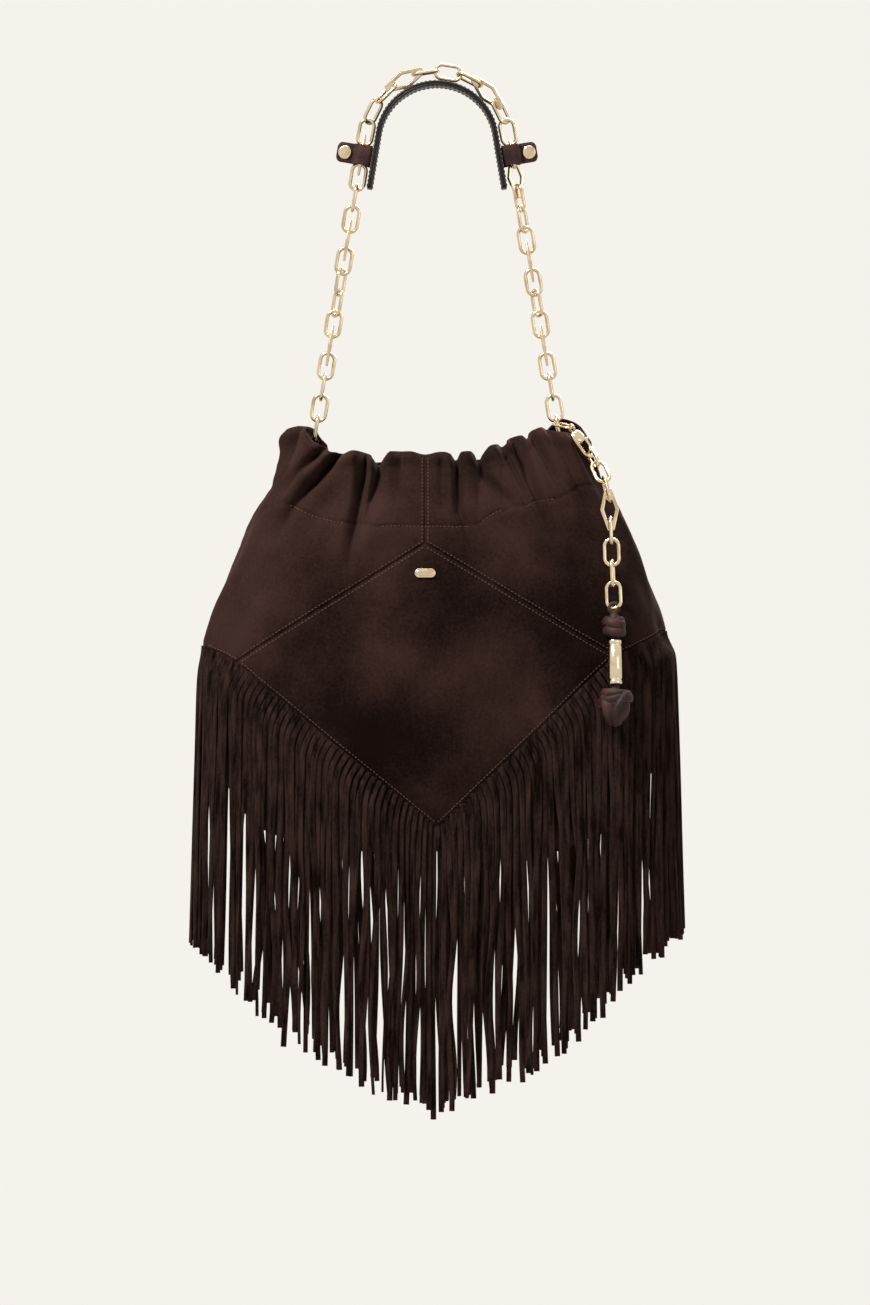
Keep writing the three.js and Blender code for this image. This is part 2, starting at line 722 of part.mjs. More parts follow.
// Plan angle by distance along the curtain, with its length and its number of strands.
function evenAngles(from, to) {
  const fine = 200;
  const angles = Array.from({ length: fine + 1 }, (_, i) => from + ((to - from) * i) / fine);
  const line = angles.map((angle) => fringeRoot(angle).hang);
  const travelled = [0];
  for (let i = 1; i <= fine; i++) travelled.push(travelled[i - 1] + line[i].distanceTo(line[i - 1]));
  const length = travelled.at(-1);
  const angleAt = (distance) => {
    const i = THREE.MathUtils.clamp(travelled.findIndex((there) => there >= distance), 1, fine);
    const share = (distance - travelled[i - 1]) / (travelled[i] - travelled[i - 1]);
    return angles[i - 1] + (angles[i] - angles[i - 1]) * share;
  };
  const number = Math.round(length / STRAND_PITCH);
  return { angleAt, length, number };
}

// One quarter of the curtain as a comb: a header along the seam and a strand below it at each pitch.
function fringe(name, from, to) {
  const { angleAt, length, number } = evenAngles(from, to);
  const pitch = (length - GAP) / number;
  const edges = [];
  for (let i = 0; i < number; i++) {
    edges.push(GAP / 2 + i * pitch + (i ? STRAND_SLIT / 2 : 0));
    edges.push(GAP / 2 + (i + 1) * pitch - (i < number - 1 ? STRAND_SLIT / 2 : 0));
  }
  const roots = edges.map((edge) => fringeRoot(angleAt(edge)));
  const points = [];
  const faces = [];
  roots.forEach(({ seam, hang, z, out }) => {
    const tip = hang.clone().addScaledVector(out, FRINGE_FLARE);
    for (const [plan, drop] of [
      [seam, 0],
      [hang, FRINGE_HEADER],
      [tip, FRINGE_LENGTH],
    ]) {
      for (const share of [1, 0]) {
        const at = plan.clone().addScaledVector(out, share * FRINGE_THICKNESS);
        points.push(new THREE.Vector3(at.x, at.y, z - drop));
      }
    }
  });
  const outer = (column, row) => column * 6 + row * 2;
  const inner = (column, row) => outer(column, row) + 1;
  const quad = (a, b, c, d) => faces.push(a, b, c, a, c, d);
  const band = (column, row) => {
    const next = column + 1;
    quad(outer(column, row), outer(column, row + 1), outer(next, row + 1), outer(next, row));
    quad(inner(column, row), inner(next, row), inner(next, row + 1), inner(column, row + 1));
  };
  const under = (column, row) => {
    const next = column + 1;
    quad(outer(column, row), inner(column, row), inner(next, row), outer(next, row));
  };
  for (let column = 0; column < roots.length - 1; column++) {
    band(column, 0);
    quad(outer(column, 0), outer(column + 1, 0), inner(column + 1, 0), inner(column, 0));
    if (column % 2) {
      under(column, 1);
      continue;
    }
    band(column, 1);
    under(column, 2);
    const next = column + 1;
    quad(outer(column, 1), inner(column, 1), inner(column, 2), outer(column, 2));
    quad(outer(next, 1), outer(next, 2), inner(next, 2), inner(next, 1));
  }
  const last = roots.length - 1;
  quad(outer(0, 0), inner(0, 0), inner(0, 1), outer(0, 1));
  quad(outer(last, 0), outer(last, 1), inner(last, 1), inner(last, 0));
  const geometry = new THREE.BufferGeometry().setFromPoints(points);
  geometry.setIndex(faces);
  addPiece(name, geometry, materials.suede);
}

function fringes() {
  const quarter = Math.PI / 2;
  fringe("fringe_back_right", 0, quarter);
  fringe("fringe_back_left", quarter, 2 * quarter);
  fringe("fringe_front_left", 2 * quarter, 3 * quarter);
  fringe("fringe_front_right", 3 * quarter, 4 * quarter);
}

// Plain plaque on the lozenge, flat against the slope of the suede
function plaque() {
  const half = PLAQUE_WIDTH / 2 - PLAQUE_HEIGHT / 2;
  const radius = PLAQUE_HEIGHT / 2;
  const shape = new THREE.Shape();
  shape.moveTo(-half, -radius);
  shape.absarc(half, 0, radius, -Math.PI / 2, Math.PI / 2, false);
  shape.absarc(-half, 0, radius, Math.PI / 2, (3 * Math.PI) / 2, false);
  const bevel = 0.4;
  const geometry = new THREE.ExtrudeGeometry(shape, {
    depth: PLAQUE_THICKNESS - bevel,
    bevelThickness: bevel,
    bevelSize: bevel,
    bevelOffset: -bevel,
    bevelSegments: 1,
    curveSegments: 6,
  });
  const x = CENTRE_SEAM_X;
  const z = APEX[1] - PLAQUE_BELOW_APEX;
  const lean = Math.atan((frontDepth(x, z - radius) - frontDepth(x, z + radius)) / (2 * radius));
  const off = frontDepth(x, z) + GAP + bevel;
  const matrix = new THREE.Matrix4().makeRotationX(Math.PI / 2 - lean);
  addPiece("plaque", geometry, materials.gilt, matrix.setPosition(x, -off, z));
}

// Anchors: an oval ring at each end of the mouth, held by a leather loop sewn down inside.
function anchors() {
  for (const [label, side] of [
    ["left", -1],
    ["right", 1],
  ]) {
    const ring = strapLinkMatrix(side * anchorDistance, ANCHOR_TWIST);
    addPiece(`${label}_anchor_ring`, OVAL, materials.gilt, ring);

    const bore = WIRE / 2 + ANCHOR_TAB_SLACK;
    const outer = bore + ANCHOR_TAB_LEATHER;
    const bar = strapPoint(side * (anchorDistance + (OVAL_LENGTH - WIRE) / 2));
    const seatZ = mouthZ - ANCHOR_SEAT_DROP;
    const wall = bodyAt(seatZ).width - SUEDE - 1.5 * outer;
    const seat = new THREE.Vector3(side * wall, 0, seatZ);
    const length = seat.distanceTo(bar);
    const shape = new THREE.Shape();
    shape.absarc(0, 0, outer, 0, Math.PI, false);
    shape.lineTo(-outer, -length);
    shape.lineTo(outer, -length);
    const eye = new THREE.Path();
    eye.absarc(0, 0, bore, 0, 2 * Math.PI, true);
    shape.holes.push(eye);
    const strip = new THREE.ExtrudeGeometry(shape, {
      depth: ANCHOR_TAB_WIDTH,
      bevelEnabled: false,
      curveSegments: 6,
    }).translate(0, 0, -ANCHOR_TAB_WIDTH / 2);
    const up = bar.clone().sub(seat).normalize();
    const across = new THREE.Vector3(0, 1, 0).cross(up);
    const matrix = new THREE.Matrix4().makeBasis(across, up, across.clone().cross(up));
    addPiece(`${label}_anchor_tab`, strip, materials.leather, matrix.setPosition(bar));
  }
}

// Charm, hooked on the right anchor ring. Each piece's own Y runs down its length.

const anchorFrame = strapLinkMatrix(anchorDistance, ANCHOR_TWIST);
const hookUp = (OVAL_LENGTH - 4 * WIRE - RING_WIRE) / 2 - LINK_GAP; // just below the strap's last link
const frontBar = new THREE.Vector3((OVAL_WIDTH - WIRE) / 2, -hookUp, 0);
const hookPoint = frontBar.applyMatrix4(anchorFrame);
const ringHeading = new THREE.Vector3(...RING_HEADING).normalize();
const ringHole = RING_LENGTH - 2 * RING_WIRE;
const ringBend = RING_WIDTH / 2 - RING_WIRE;
const ringReach = ringHole - ringBend + RING_WIRE / 2;
const eyeletPoint = hookPoint.clone().addScaledVector(ringHeading, ringReach);

const ringAcross = ringHeading.clone().cross(legDirection).normalize();

function charmRing() {
  const middle = hookPoint.clone().addScaledVector(ringHeading, ringHole / 2 - ringBend);
  const start = middle.clone().sub(ringHeading);
  const end = middle.clone().add(ringHeading);
  const matrix = linkMatrix(start, end, ringAcross, 0);
  addPiece("charm_ring", ovalLink(RING_LENGTH, RING_WIDTH, RING_WIRE), materials.gilt, matrix);
}

// The clasp points at the first turn; the links run on from its hook through the other turns.
const turns = CHARM_TURNS.map((turn) => new THREE.Vector3(...turn).add(eyeletPoint));
const knotClear = Math.max(...LOWER_KNOT.half) + GAP;
const swingOut = Math.max(
  ...turns.slice(1).map((turn) => {
    const clear = turn === turns.at(-1) ? knotClear : CHARM_CLEAR;
    return (turn.y + hangDepth(turn.x, turn.z) + clear) / (eyeletPoint.z - turn.z);
  }),
);
for (const turn of turns) {
  turn.sub(eyeletPoint).applyAxisAngle(new THREE.Vector3(-1, 0, 0), swingOut).add(eyeletPoint);
}
const claspDown = turns[0].clone().sub(eyeletPoint).normalize();
const claspSettle = EYELET_RADIUS - EYELET_WIRE / 2 - RING_WIRE / 2 - GAP;
const claspPoint = eyeletPoint.clone().addScaledVector(claspDown, claspSettle);
turns[0] = claspPoint.clone().addScaledVector(claspDown, CLASP_HOLE_END - CLASP_SLACK);
const charmLine = new THREE.CatmullRomCurve3(turns);
const charmLength = charmLine.getLength();
const meeting = (count) => charmLine.getPointAt((count * PITCH) / charmLength);

// Lobster clasp, opened flat in X and Y: eyelet at the origin, hook below, gate on the right.
function claspBody() {
  const outline = new THREE.Shape();
  const bottom = CLASP_HOLE_END + CLASP_BAR;
  outline.moveTo(-EYELET_WIRE, EYELET_RADIUS);
  outline.quadraticCurveTo(-CLASP_HALF_WIDTH, EYELET_RADIUS + 1, -CLASP_HALF_WIDTH, CLASP_SHOULDER);
  outline.lineTo(-CLASP_HALF_WIDTH, bottom - CLASP_HALF_WIDTH);
  outline.absarc(0, bottom - CLASP_HALF_WIDTH, CLASP_HALF_WIDTH, Math.PI, 0, true);
  outline.lineTo(CLASP_HALF_WIDTH, CLASP_SHOULDER);
  outline.quadraticCurveTo(CLASP_HALF_WIDTH, EYELET_RADIUS + 1, EYELET_WIRE, EYELET_RADIUS);
  const inner = CLASP_HALF_WIDTH - CLASP_BAR;
  const window = new THREE.Shape();
  window.absarc(0, CLASP_SHOULDER + inner, inner, Math.PI, 2 * Math.PI, false);
  window.absarc(0, CLASP_HOLE_END - inner, inner, 0, Math.PI, false);
  const [plate, opening] = [outline, window].map((shape, i) => {
    const depth = CLASP_THICKNESS * (1 + i);
    const flat = { depth, bevelEnabled: false, curveSegments: 6 };
    return solidOf(new THREE.ExtrudeGeometry(shape, flat).translate(0, 0, -depth / 2));
  });
  const eyelet = new THREE.TorusGeometry(EYELET_RADIUS, EYELET_WIRE / 2, 6, 12).rotateY(Math.PI / 2);
  const [bossWidth, bossLength, bossRise] = CLASP_BOSS;
  const boss = new THREE.SphereGeometry(1, 12, 6).rotateX(Math.PI / 2);
  boss.scale(bossWidth, bossLength, bossRise);
  boss.translate(0, EYELET_RADIUS + bossLength - 1, -CLASP_THICKNESS / 2);
  const gateTop = CLASP_SHOULDER - GAP;
  const gateFoot = GATE_END + GAP;
  const room = 2 * CLASP_HALF_WIDTH;
  const gateRoom = new THREE.BoxGeometry(room, gateFoot - gateTop, 2 * CLASP_THICKNESS);
  gateRoom.translate(room / 2 + inner - 1, (gateFoot + gateTop) / 2, 0);
  const body = plate.subtract(opening).add(solidOf(eyelet));
  return body.subtract(solidOf(gateRoom)).add(solidOf(boss));
}

// Gate about its own pivot at the origin, closed position.
const gatePivot = [CLASP_HALF_WIDTH - CLASP_BAR / 2, CLASP_SHOULDER + GATE_WIDTH / 2 + GAP];

function claspGate() {
  const half = GATE_WIDTH / 2;
  const shape = new THREE.Shape();
  shape.absarc(0, 0, half, Math.PI, 2 * Math.PI, false);
  shape.lineTo(half + GATE_LEVER, 0);
  shape.lineTo(half + GATE_LEVER, 2 * half);
  shape.lineTo(half, 3 * half);
  shape.lineTo(half, GATE_END - gatePivot[1]);
  shape.lineTo(-half, GATE_END - gatePivot[1]);
  return new THREE.ExtrudeGeometry(shape, {
    depth: GATE_THICKNESS,
    bevelEnabled: false,
    curveSegments: 6,
  }).translate(0, 0, -GATE_THICKNESS / 2);
}

const claspFrame = linkMatrix(claspPoint, turns[0], ringAcross, 0).setPosition(claspPoint);

function clasp() {
  addPiece("clasp_body", geometryOf(claspBody()), materials.gilt, claspFrame);
  const pivot = new THREE.Matrix4().makeTranslation(...gatePivot, 0);
  addPiece("clasp_gate", claspGate(), materials.gilt, claspFrame.clone().multiply(pivot));
}

// Each link lies across the one before it, and the whole charm turns a little as it comes round the bag.
function charmFrames() {
  let across = new THREE.Vector3().setFromMatrixColumn(claspFrame, 0);
  return Array.from({ length: CHARM_LINKS + 1 }, (_, i) => {
    const start = meeting(i);
    const end = i < CHARM_LINKS ? meeting(i + 1) : turns.at(-1);
    across = end.clone().sub(start).cross(across);
    const frame = linkMatrix(start, end, across, degrees(CHARM_TURN));
    across = new THREE.Vector3().setFromMatrixColumn(frame, 0);
    return i < CHARM_LINKS ? frame : frame.setPosition(start);
  });
}

const charmFrame = charmFrames();

function charmLinks() {
  for (let i = 0; i < CHARM_LINKS; i++) {
    addPiece(`charm_link_${i + 1}`, i === CHARM_HEX ? HEX : OVAL, materials.gilt, charmFrame[i]);
  }
}

function knot({ at, half }) {
  const geometry = new THREE.SphereGeometry(1, 10, 6);
  return solidOf(geometry.scale(...half).translate(0, at, 0));
}

// Leather cord: a loop through the last link, a knot above the bead and a larger knot below it.
function tassel() {
  const matrix = charmFrame[CHARM_LINKS];
  const loop = new THREE.TorusGeometry(CORD_LOOP_RADIUS, CORD_LOOP_WIRE / 2, 6, 10);
  loop.translate(0, CORD_LOOP_RADIUS - (CORD_LOOP_WIRE + LINK_GAP) / 2, 0);
  const core = new THREE.CylinderGeometry(CORD_RADIUS, CORD_RADIUS, LOWER_KNOT.at - UPPER_KNOT.at, 12);
  core.translate(0, (LOWER_KNOT.at + UPPER_KNOT.at) / 2, 0);
  const cord = solidOf(loop).add(knot(UPPER_KNOT)).add(solidOf(core)).add(knot(LOWER_KNOT));

  const endY = BEAD_LENGTH / 2;
  const grooveY = endY - BEAD_GROOVE_FROM_END;
  const bore = CORD_RADIUS + GAP;
  const profile = [
    [bore, -endY],
    [BEAD_RADIUS - BEAD_GROOVE, -endY],
    [BEAD_RADIUS, -endY + 1],
    [BEAD_RADIUS, -grooveY - 1],
    [BEAD_RADIUS - BEAD_GROOVE, -grooveY],
    [BEAD_RADIUS, -grooveY + 1],
    [BEAD_RADIUS, grooveY - 1],
    [BEAD_RADIUS - BEAD_GROOVE, grooveY],
    [BEAD_RADIUS, grooveY + 1],
    [BEAD_RADIUS, endY - 1],
    [BEAD_RADIUS - BEAD_GROOVE, endY],
    [bore, endY],
    [bore, -endY],
  ].map(([radius, y]) => new THREE.Vector2(radius, y));
  const bead = new THREE.LatheGeometry(profile, 12).translate(0, BEAD_MIDDLE, 0);
  const space = new THREE.CylinderGeometry(
    BEAD_RADIUS + GAP,
    BEAD_RADIUS + GAP,
    BEAD_LENGTH + 2 * GAP,
    12,
  ).translate(0, BEAD_MIDDLE, 0);
  const through = new THREE.CylinderGeometry(CORD_RADIUS, CORD_RADIUS, BEAD_LENGTH + 2, 12);
  through.translate(0, BEAD_MIDDLE, 0);
  const cut = cord.subtract(solidOf(space)).add(solidOf(through));
  addPiece("tassel_cord", geometryOf(cut), materials.leather, matrix);
  addPiece("tassel_bead", bead, materials.gilt, matrix);
}

shoulderPad();
snapTabs();
chainOverPad();
strapRuns();
bodyPanels();
lining();
fringes();
plaque();
anchors();
charmRing();
clasp();
charmLinks();
tassel();

export default bag;
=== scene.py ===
"""Fringed suede shoulder bag: the looks of its pieces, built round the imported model.

Sizes inside the functions are in millimetres, in the model's own frame: +X to the viewer's right,
+Z up and the front towards -Y, with the origin under the top of the shoulder pad's arch.
"""

import math

import bmesh
import bpy
import numpy as np
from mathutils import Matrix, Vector


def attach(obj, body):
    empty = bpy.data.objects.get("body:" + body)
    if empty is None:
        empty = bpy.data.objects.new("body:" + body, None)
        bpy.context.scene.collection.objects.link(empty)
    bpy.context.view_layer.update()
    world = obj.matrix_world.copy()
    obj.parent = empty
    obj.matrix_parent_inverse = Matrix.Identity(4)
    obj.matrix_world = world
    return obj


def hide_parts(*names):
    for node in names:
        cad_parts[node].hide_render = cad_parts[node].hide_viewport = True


bl_info = {
    "name": "Fringed suede shoulder bag",
    "version": (1, 0, 0),
    "blender": (4, 5, 0),
    "location": "View3D > Sidebar > Bag",
    "description": "Builds the suede, fringe, chain, pad and charm of a shoulder bag",
    "category": "Object",
}

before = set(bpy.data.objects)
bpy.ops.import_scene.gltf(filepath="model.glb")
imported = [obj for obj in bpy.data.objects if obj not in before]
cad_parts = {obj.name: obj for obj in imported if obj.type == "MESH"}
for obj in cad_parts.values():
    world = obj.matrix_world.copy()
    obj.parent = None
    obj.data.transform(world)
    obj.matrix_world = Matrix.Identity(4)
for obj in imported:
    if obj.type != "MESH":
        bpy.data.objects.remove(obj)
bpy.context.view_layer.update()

# Chain and handle
PITCH = 16.3
JOINED_PITCH = 17.45
WIRE = 2.8
OVAL = (22.75, 13.6)
HEX = (32.5, 14.5, 5.0)
HEX_HOLE = (17.15, 8.6, 4.0)
HEX_THICKNESS = 3.0
PAD_RADIUS = 43.3
PAD_THICKNESS = 3.8
PAD_WIDTH = 26.0
PAD_LEG = 43.0
SPLAY = math.radians(9.5)
CHAIN_OFF_PAD = 8.161
STRAP_RADIUS = PAD_RADIUS + PAD_THICKNESS + CHAIN_OFF_PAD
RUN_START = 121.575
TAB_UP_LEG = 25.3
TAB_REACH = CHAIN_OFF_PAD + 19.3
TAB_EDGE = 7.75
TAB_CORNER = 4.0
STUD_INSET = 6.2
OVER_PAD = (
    ("oval", 0), ("hex", 90), ("oval", 0), ("oval", 45), ("oval", 110), ("hex", 10), ("oval", 90),
    ("oval", 0), ("oval", 75), ("hex", 15), ("oval", 130), ("oval", 0), ("oval", 90), ("hex", 150),
)
HEX_LINKS = {"strap_left_03", "strap_left_08", "strap_right_04", "strap_right_08", "charm_link_4"}

# Bag body: height, half width and half depth of its levels, from the mouth down
MOUTH_Z = -261.65
LEVELS = np.array([
    (-261.65, 113.15, 22.0), (-299.76, 124.96, 38.02), (-324.64, 139.02, 46.99), (-351.77, 151.48, 53.99),
    (-379.55, 161.98, 59.0), (-407.65, 171.95, 63.03), (-435.75, 178.0, 65.01), (-467.72, 178.0, 66.0),
    (-504.55, 171.95, 64.02), (-539.75, 160.02, 55.97), (-566.56, 139.02, 41.98), (-584.65, 95.94, 13.99),
])
SQUARENESS = 2.6
GATHER_LENGTH = 90.0
APEX = (-9.0, -350.65)
LEFT_CORNER = (-154.0, -441.25)
RIGHT_CORNER = (135.0, -436.65)
FOOT = (0.0, -567.65)
SIDE_RISE = (0.5, 0.46)
LINING_TOP = MOUTH_Z - 88.0

# Edge of the mouth along the front and the back: place across the bag and height
RIM_FRONT = np.array([
    (-118, -270), (-113, -263.5), (-108, -260.5), (-103, -261), (-99, -266), (-95, -271.5), (-87, -276),
    (-80, -280.5), (-72, -281.5), (-63, -279.5), (-55, -281), (-49, -285), (-45, -290.5), (-41, -286),
    (-35, -280), (-21, -280), (-9, -282.5),
    (4, -280.2), (10, -282), (14.5, -287), (18.5, -280.5), (25, -280), (29, -283), (31.5, -288.5),
    (35, -282), (41, -275.5), (47, -274.5), (50, -276.5), (56, -270), (64, -268), (68, -270.5),
    (73, -264), (80, -261.5), (86, -263.5), (93, -265), (100, -265.5), (108, -266), (116, -268),
])
RIM_BACK = np.array([
    (-118, -270), (-112, -263), (-106, -259.5), (-99, -260), (-92, -265), (-86, -273), (-79, -284),
    (-60, -288), (-30, -286), (-9, -288), (20, -286), (40, -284), (60, -276), (76, -270),
    (84, -262), (90, -256.5), (97, -254), (104, -256), (110, -261), (116, -268),
])
# Gathers of the front: depth, half width and the line of the fold as places across the bag and heights
GATHERS = (
    (6.0, 5.0, ((-101, -250), (-118, -300), (-138, -338))),
    (9.0, 4.2, ((-76, -268), (-107, -298), (-126, -328))),
    (13.0, 4.6, ((-66, -272), (-92, -303), (-109, -322), (-124, -354))),
    (19.0, 4.6, ((-54, -270), (-56.7, -301), (-63.7, -345), (-68, -376))),
    (15.0, 3.8, ((-43.5, -274), (-45, -300), (-51, -321), (-57, -350))),
    (5.0, 5.0, ((-26, -268), (-29, -322))),
    (7.0, 4.0, ((4, -270), (4.5, -332))),
    (11.0, 3.4, ((14.5, -272), (17, -327), (30, -362))),
    (12.0, 3.8, ((29, -274), (36, -300), (60, -326))),
    (13.0, 4.2, ((42, -262), (60, -298), (73.5, -325), (88, -362))),
    (18.0, 4.4, ((52, -258), (68, -295), (79, -322), (94, -358))),
    (11.0, 4.2, ((65, -254), (82.7, -289), (102, -328))),
    (9.0, 4.6, ((76, -248), (100, -290), (120, -334))),
    (7.0, 5.0, ((88, -242), (112, -285), (133, -330))),
)
# Row of stitches that closes the casing of the gathers: place across and height
CASING = np.array([
    (-124, -309), (-111, -322), (-90, -329), (-70, -333), (-38, -336), (24, -336.5), (34, -331),
    (48, -323), (70, -320), (89, -316), (113, -303),
])
# Parts of that row that the folds leave in sight
CASING_SHOWN = ((-112.0, -70.0), (-42.0, 26.0), (34.0, 51.0), (67.0, 88.0))
# Lamps: name, place, where they point, size and power
LAMPS = (
    ("key", (-1.3, -1.5, 1.95), (0, 0, -0.42), 0.7, 118),
    ("fill", (2.4, -2.0, 0.3), (0, 0, -0.45), 1.4, 10),
    ("top", (0.3, 0.3, 1.8), (0, 0, -0.3), 1.2, 30),
    ("rear", (0.8, 2.3, 1.0), (0, 0, -0.4), 1.4, 58),
)
# Length of the fringe by place across the bag
FRINGE_LENGTHS = np.array([
    (-184, 226), (-150, 236), (-120, 243), (-62, 238), (-25, 225), (0, 217), (22, 226), (50, 240),
    (94, 252), (122, 249), (162, 238), (184, 230),
])


def rows(values):
    """Float array of points, one row each."""
    return np.asarray(values, float).reshape(-1, 3)


def unit(vectors):
    """Vectors along the last axis at length 1."""
    vectors = np.asarray(vectors, float)
    return vectors / np.maximum(np.linalg.norm(vectors, axis=-1, keepdims=True), 1e-12)


def turned(vector, axis, degrees):
    """A vector turned about an axis."""
    angle = math.radians(degrees)
    axis = unit(axis)
    vector = np.asarray(vector, float)
    return (
        vector * math.cos(angle)
        + np.cross(axis, vector) * math.sin(angle)
        + axis * np.dot(axis, vector) * (1 - math.cos(angle))
    )


def smooth_step(low, high, values):
    """Soft step from 0 at low to 1 at high."""
    share = np.clip((np.asarray(values, float) - low) / (high - low), 0, 1)
    return share * share * (3 - 2 * share)


def through(points, values):
    """Smooth curve through points of (place, height), with no overshoot."""
    places, heights = points[:, 0], points[:, 1]
    steps = np.diff(heights) / np.diff(places)
    before, after = steps[:-1], steps[1:]
    inner = np.where(after * before > 0, 2 * after * before / (after + before + 1e-12), 0)
    slopes = np.concatenate([[steps[0]], inner, [steps[-1]]])
    values = np.clip(values, places[0], places[-1])
    i = np.clip(np.searchsorted(places, values) - 1, 0, len(places) - 2)
    wide = places[i + 1] - places[i]
    t = (values - places[i]) / wide
    return (
        heights[i] * (1 + 2 * t) * (1 - t) ** 2
        + slopes[i] * wide * t * (1 - t) ** 2
        + heights[i + 1] * t * t * (3 - 2 * t)
        + slopes[i + 1] * wide * t * t * (t - 1)
    )


# Meshes


def piece(name, points, faces, look):
    """A new mesh object from points in millimetres."""
    mesh = bpy.data.meshes.new(name)
    mesh.from_pydata((rows(points) / 1000).tolist(), [], [tuple(map(int, face)) for face in faces])
    mesh.validate()
    mesh.materials.append(look)
    mesh.polygons.foreach_set("use_smooth", np.ones(len(mesh.polygons), bool))
    mesh.update()
    made = bpy.data.objects.new(name, mesh)
    bpy.context.scene.collection.objects.link(made)
    return made


def skin(rings, closed=False, caps=True):
    """Points and faces of a skin over rings of equal count; closed joins the last ring to the first."""
    rings = np.asarray(rings, float)
    count, sides = rings.shape[:2]
    points = rings.reshape(-1, 3)
    faces = []
    for row in range(count if closed else count - 1):
        low, high = row * sides, (row + 1) % count * sides
        for side in range(sides):
            after = (side + 1) % sides
            faces.append((low + side, low + after, high + after, high + side))
    if caps and not closed:
        faces.append(tuple(range(sides))[::-1])
        faces.append(tuple(range((count - 1) * sides, count * sides)))
    return points, faces


def joined(parts):
    """Several (points, faces) as one."""
    points, faces, start = [], [], 0
    for some_points, some_faces in parts:
        points.append(rows(some_points))
        faces += [tuple(index + start for index in face) for face in some_faces]
        start += len(points[-1])
    return np.concatenate(points), faces


def tangents(path, closed=False):
    """Direction of a path at each of its points."""
    path = rows(path)
    if closed:
        return unit(np.roll(path, -1, 0) - np.roll(path, 1, 0))
    return unit(np.gradient(path, axis=0))


def carried(path, first, closed=False):
    """A direction across the path, carried along it with as little turn as possible."""
    along = tangents(path, closed)
    across = [unit(first - along[0] * np.dot(first, along[0]))]
    for direction in along[1:]:
        moved = across[-1] - direction * np.dot(across[-1], direction)
        across.append(unit(moved))
    return along, np.array(across)


def tube(path, half_width, half_height, sides=12, closed=False, first=(0.31, 0.89, 0.34)):
    """A tube of oval section along a path; the half sizes are numbers or one for each point."""
    path = rows(path)
    along, across = carried(path, np.asarray(first, float), closed)
    over = np.cross(along, across)
    turn = np.linspace(0, 2 * np.pi, sides, endpoint=False)
    wide = np.broadcast_to(half_width, len(path))[:, None, None]
    high = np.broadcast_to(half_height, len(path))[:, None, None]
    rings = (
        path[:, None]
        + across[:, None] * np.cos(turn)[None, :, None] * wide
        + over[:, None] * np.sin(turn)[None, :, None] * high
    )
    return skin(rings, closed)


def rounded_section(width, height, radius, steps=3):
    """Outline of a rectangle with round corners, as rows of (across, up)."""
    outline = []
    for quarter, (x, y) in enumerate(((1, 1), (-1, 1), (-1, -1), (1, -1))):
        for step in range(steps + 1):
            angle = math.pi / 2 * (quarter + step / steps)
            outline.append((
                x * (width / 2 - radius) + radius * math.cos(angle),
                y * (height / 2 - radius) + radius * math.sin(angle),
            ))
    return np.array(outline)


def strip(path, across, over, sections):
    """A strip along a path, with one section, or one for each point, laid in the across and over directions."""
    path = rows(path)
    sections = np.broadcast_to(sections, (len(path),) + np.shape(sections)[-2:])
    across = np.broadcast_to(across, path.shape)
    over = np.broadcast_to(over, path.shape)
    rings = path[:, None] + across[:, None] * sections[:, :, :1] + over[:, None] * sections[:, :, 1:]
    return skin(rings)


def lathe(profile, axis_point, axis, sides=40):
    """A turned solid: the profile is rows of (distance along the axis, radius)."""
    axis = unit(axis)
    first = unit(np.cross(axis, (0.31, 0.42, 0.85)))
    second = np.cross(axis, first)
    turn = np.linspace(0, 2 * np.pi, sides, endpoint=False)
    spokes = first[None] * np.cos(turn)[:, None] + second[None] * np.sin(turn)[:, None]
    rings = [np.asarray(axis_point, float) + axis * at + spokes * radius for at, radius in profile]
    return skin(rings)


def ball(centre, radii, sides=28, steps=16):
    """A rounded form with three half sizes."""
    turn = np.linspace(0, 2 * np.pi, sides, endpoint=False)
    rings = []
    for a in np.radians(np.linspace(2, 178, steps)):
        ring = np.stack([math.sin(a) * np.cos(turn), np.full(sides, -math.cos(a)), math.sin(a) * np.sin(turn)], -1)
        rings.append(np.array(centre) + ring * radii)
    return skin(rings)


def in_frame(points, place, x, y, z):
    """Local points put in a frame of three directions at a place."""
    points = rows(points)
    return np.asarray(place, float) + points[:, :1] * x + points[:, 1:2] * y + points[:, 2:] * z


def cut_plate(outlines, thickness, bevel, steps=2):
    """A flat plate from closed outlines in X and Y, holes included, with rounded edges, as points and faces."""
    curve = bpy.data.curves.new("plate", "CURVE")
    curve.dimensions = "2D"
    curve.fill_mode = "BOTH"
    curve.extrude = thickness / 2 - bevel
    curve.bevel_depth = bevel
    curve.bevel_resolution = steps
    curve.offset = -bevel
    for outline in outlines:
        spline = curve.splines.new("POLY")
        spline.points.add(len(outline) - 1)
        spline.points.foreach_set("co", np.array([(x, y, 0, 1) for x, y in outline], float).ravel())
        spline.use_cyclic_u = True
    shape = bpy.data.objects.new("plate", curve)
    mesh = shape.to_mesh()
    points = np.array([vertex.co[:] for vertex in mesh.vertices])
    faces = [tuple(polygon.vertices) for polygon in mesh.polygons]
    shape.to_mesh_clear()
    bpy.data.objects.remove(shape)
    bpy.data.curves.remove(curve)
    return points, faces


def arc(x, y, radius, start, end, steps=10):
    """Points of an arc between two angles in degrees."""
    angles = np.radians(np.linspace(start, end, steps + 1))
    return [(x + radius * math.cos(angle), y + radius * math.sin(angle)) for angle in angles]


def placed(shape, place, x, y, z):
    """A shape put in a frame of three directions at a place."""
    return in_frame(shape[0], place, x, y, z), shape[1]


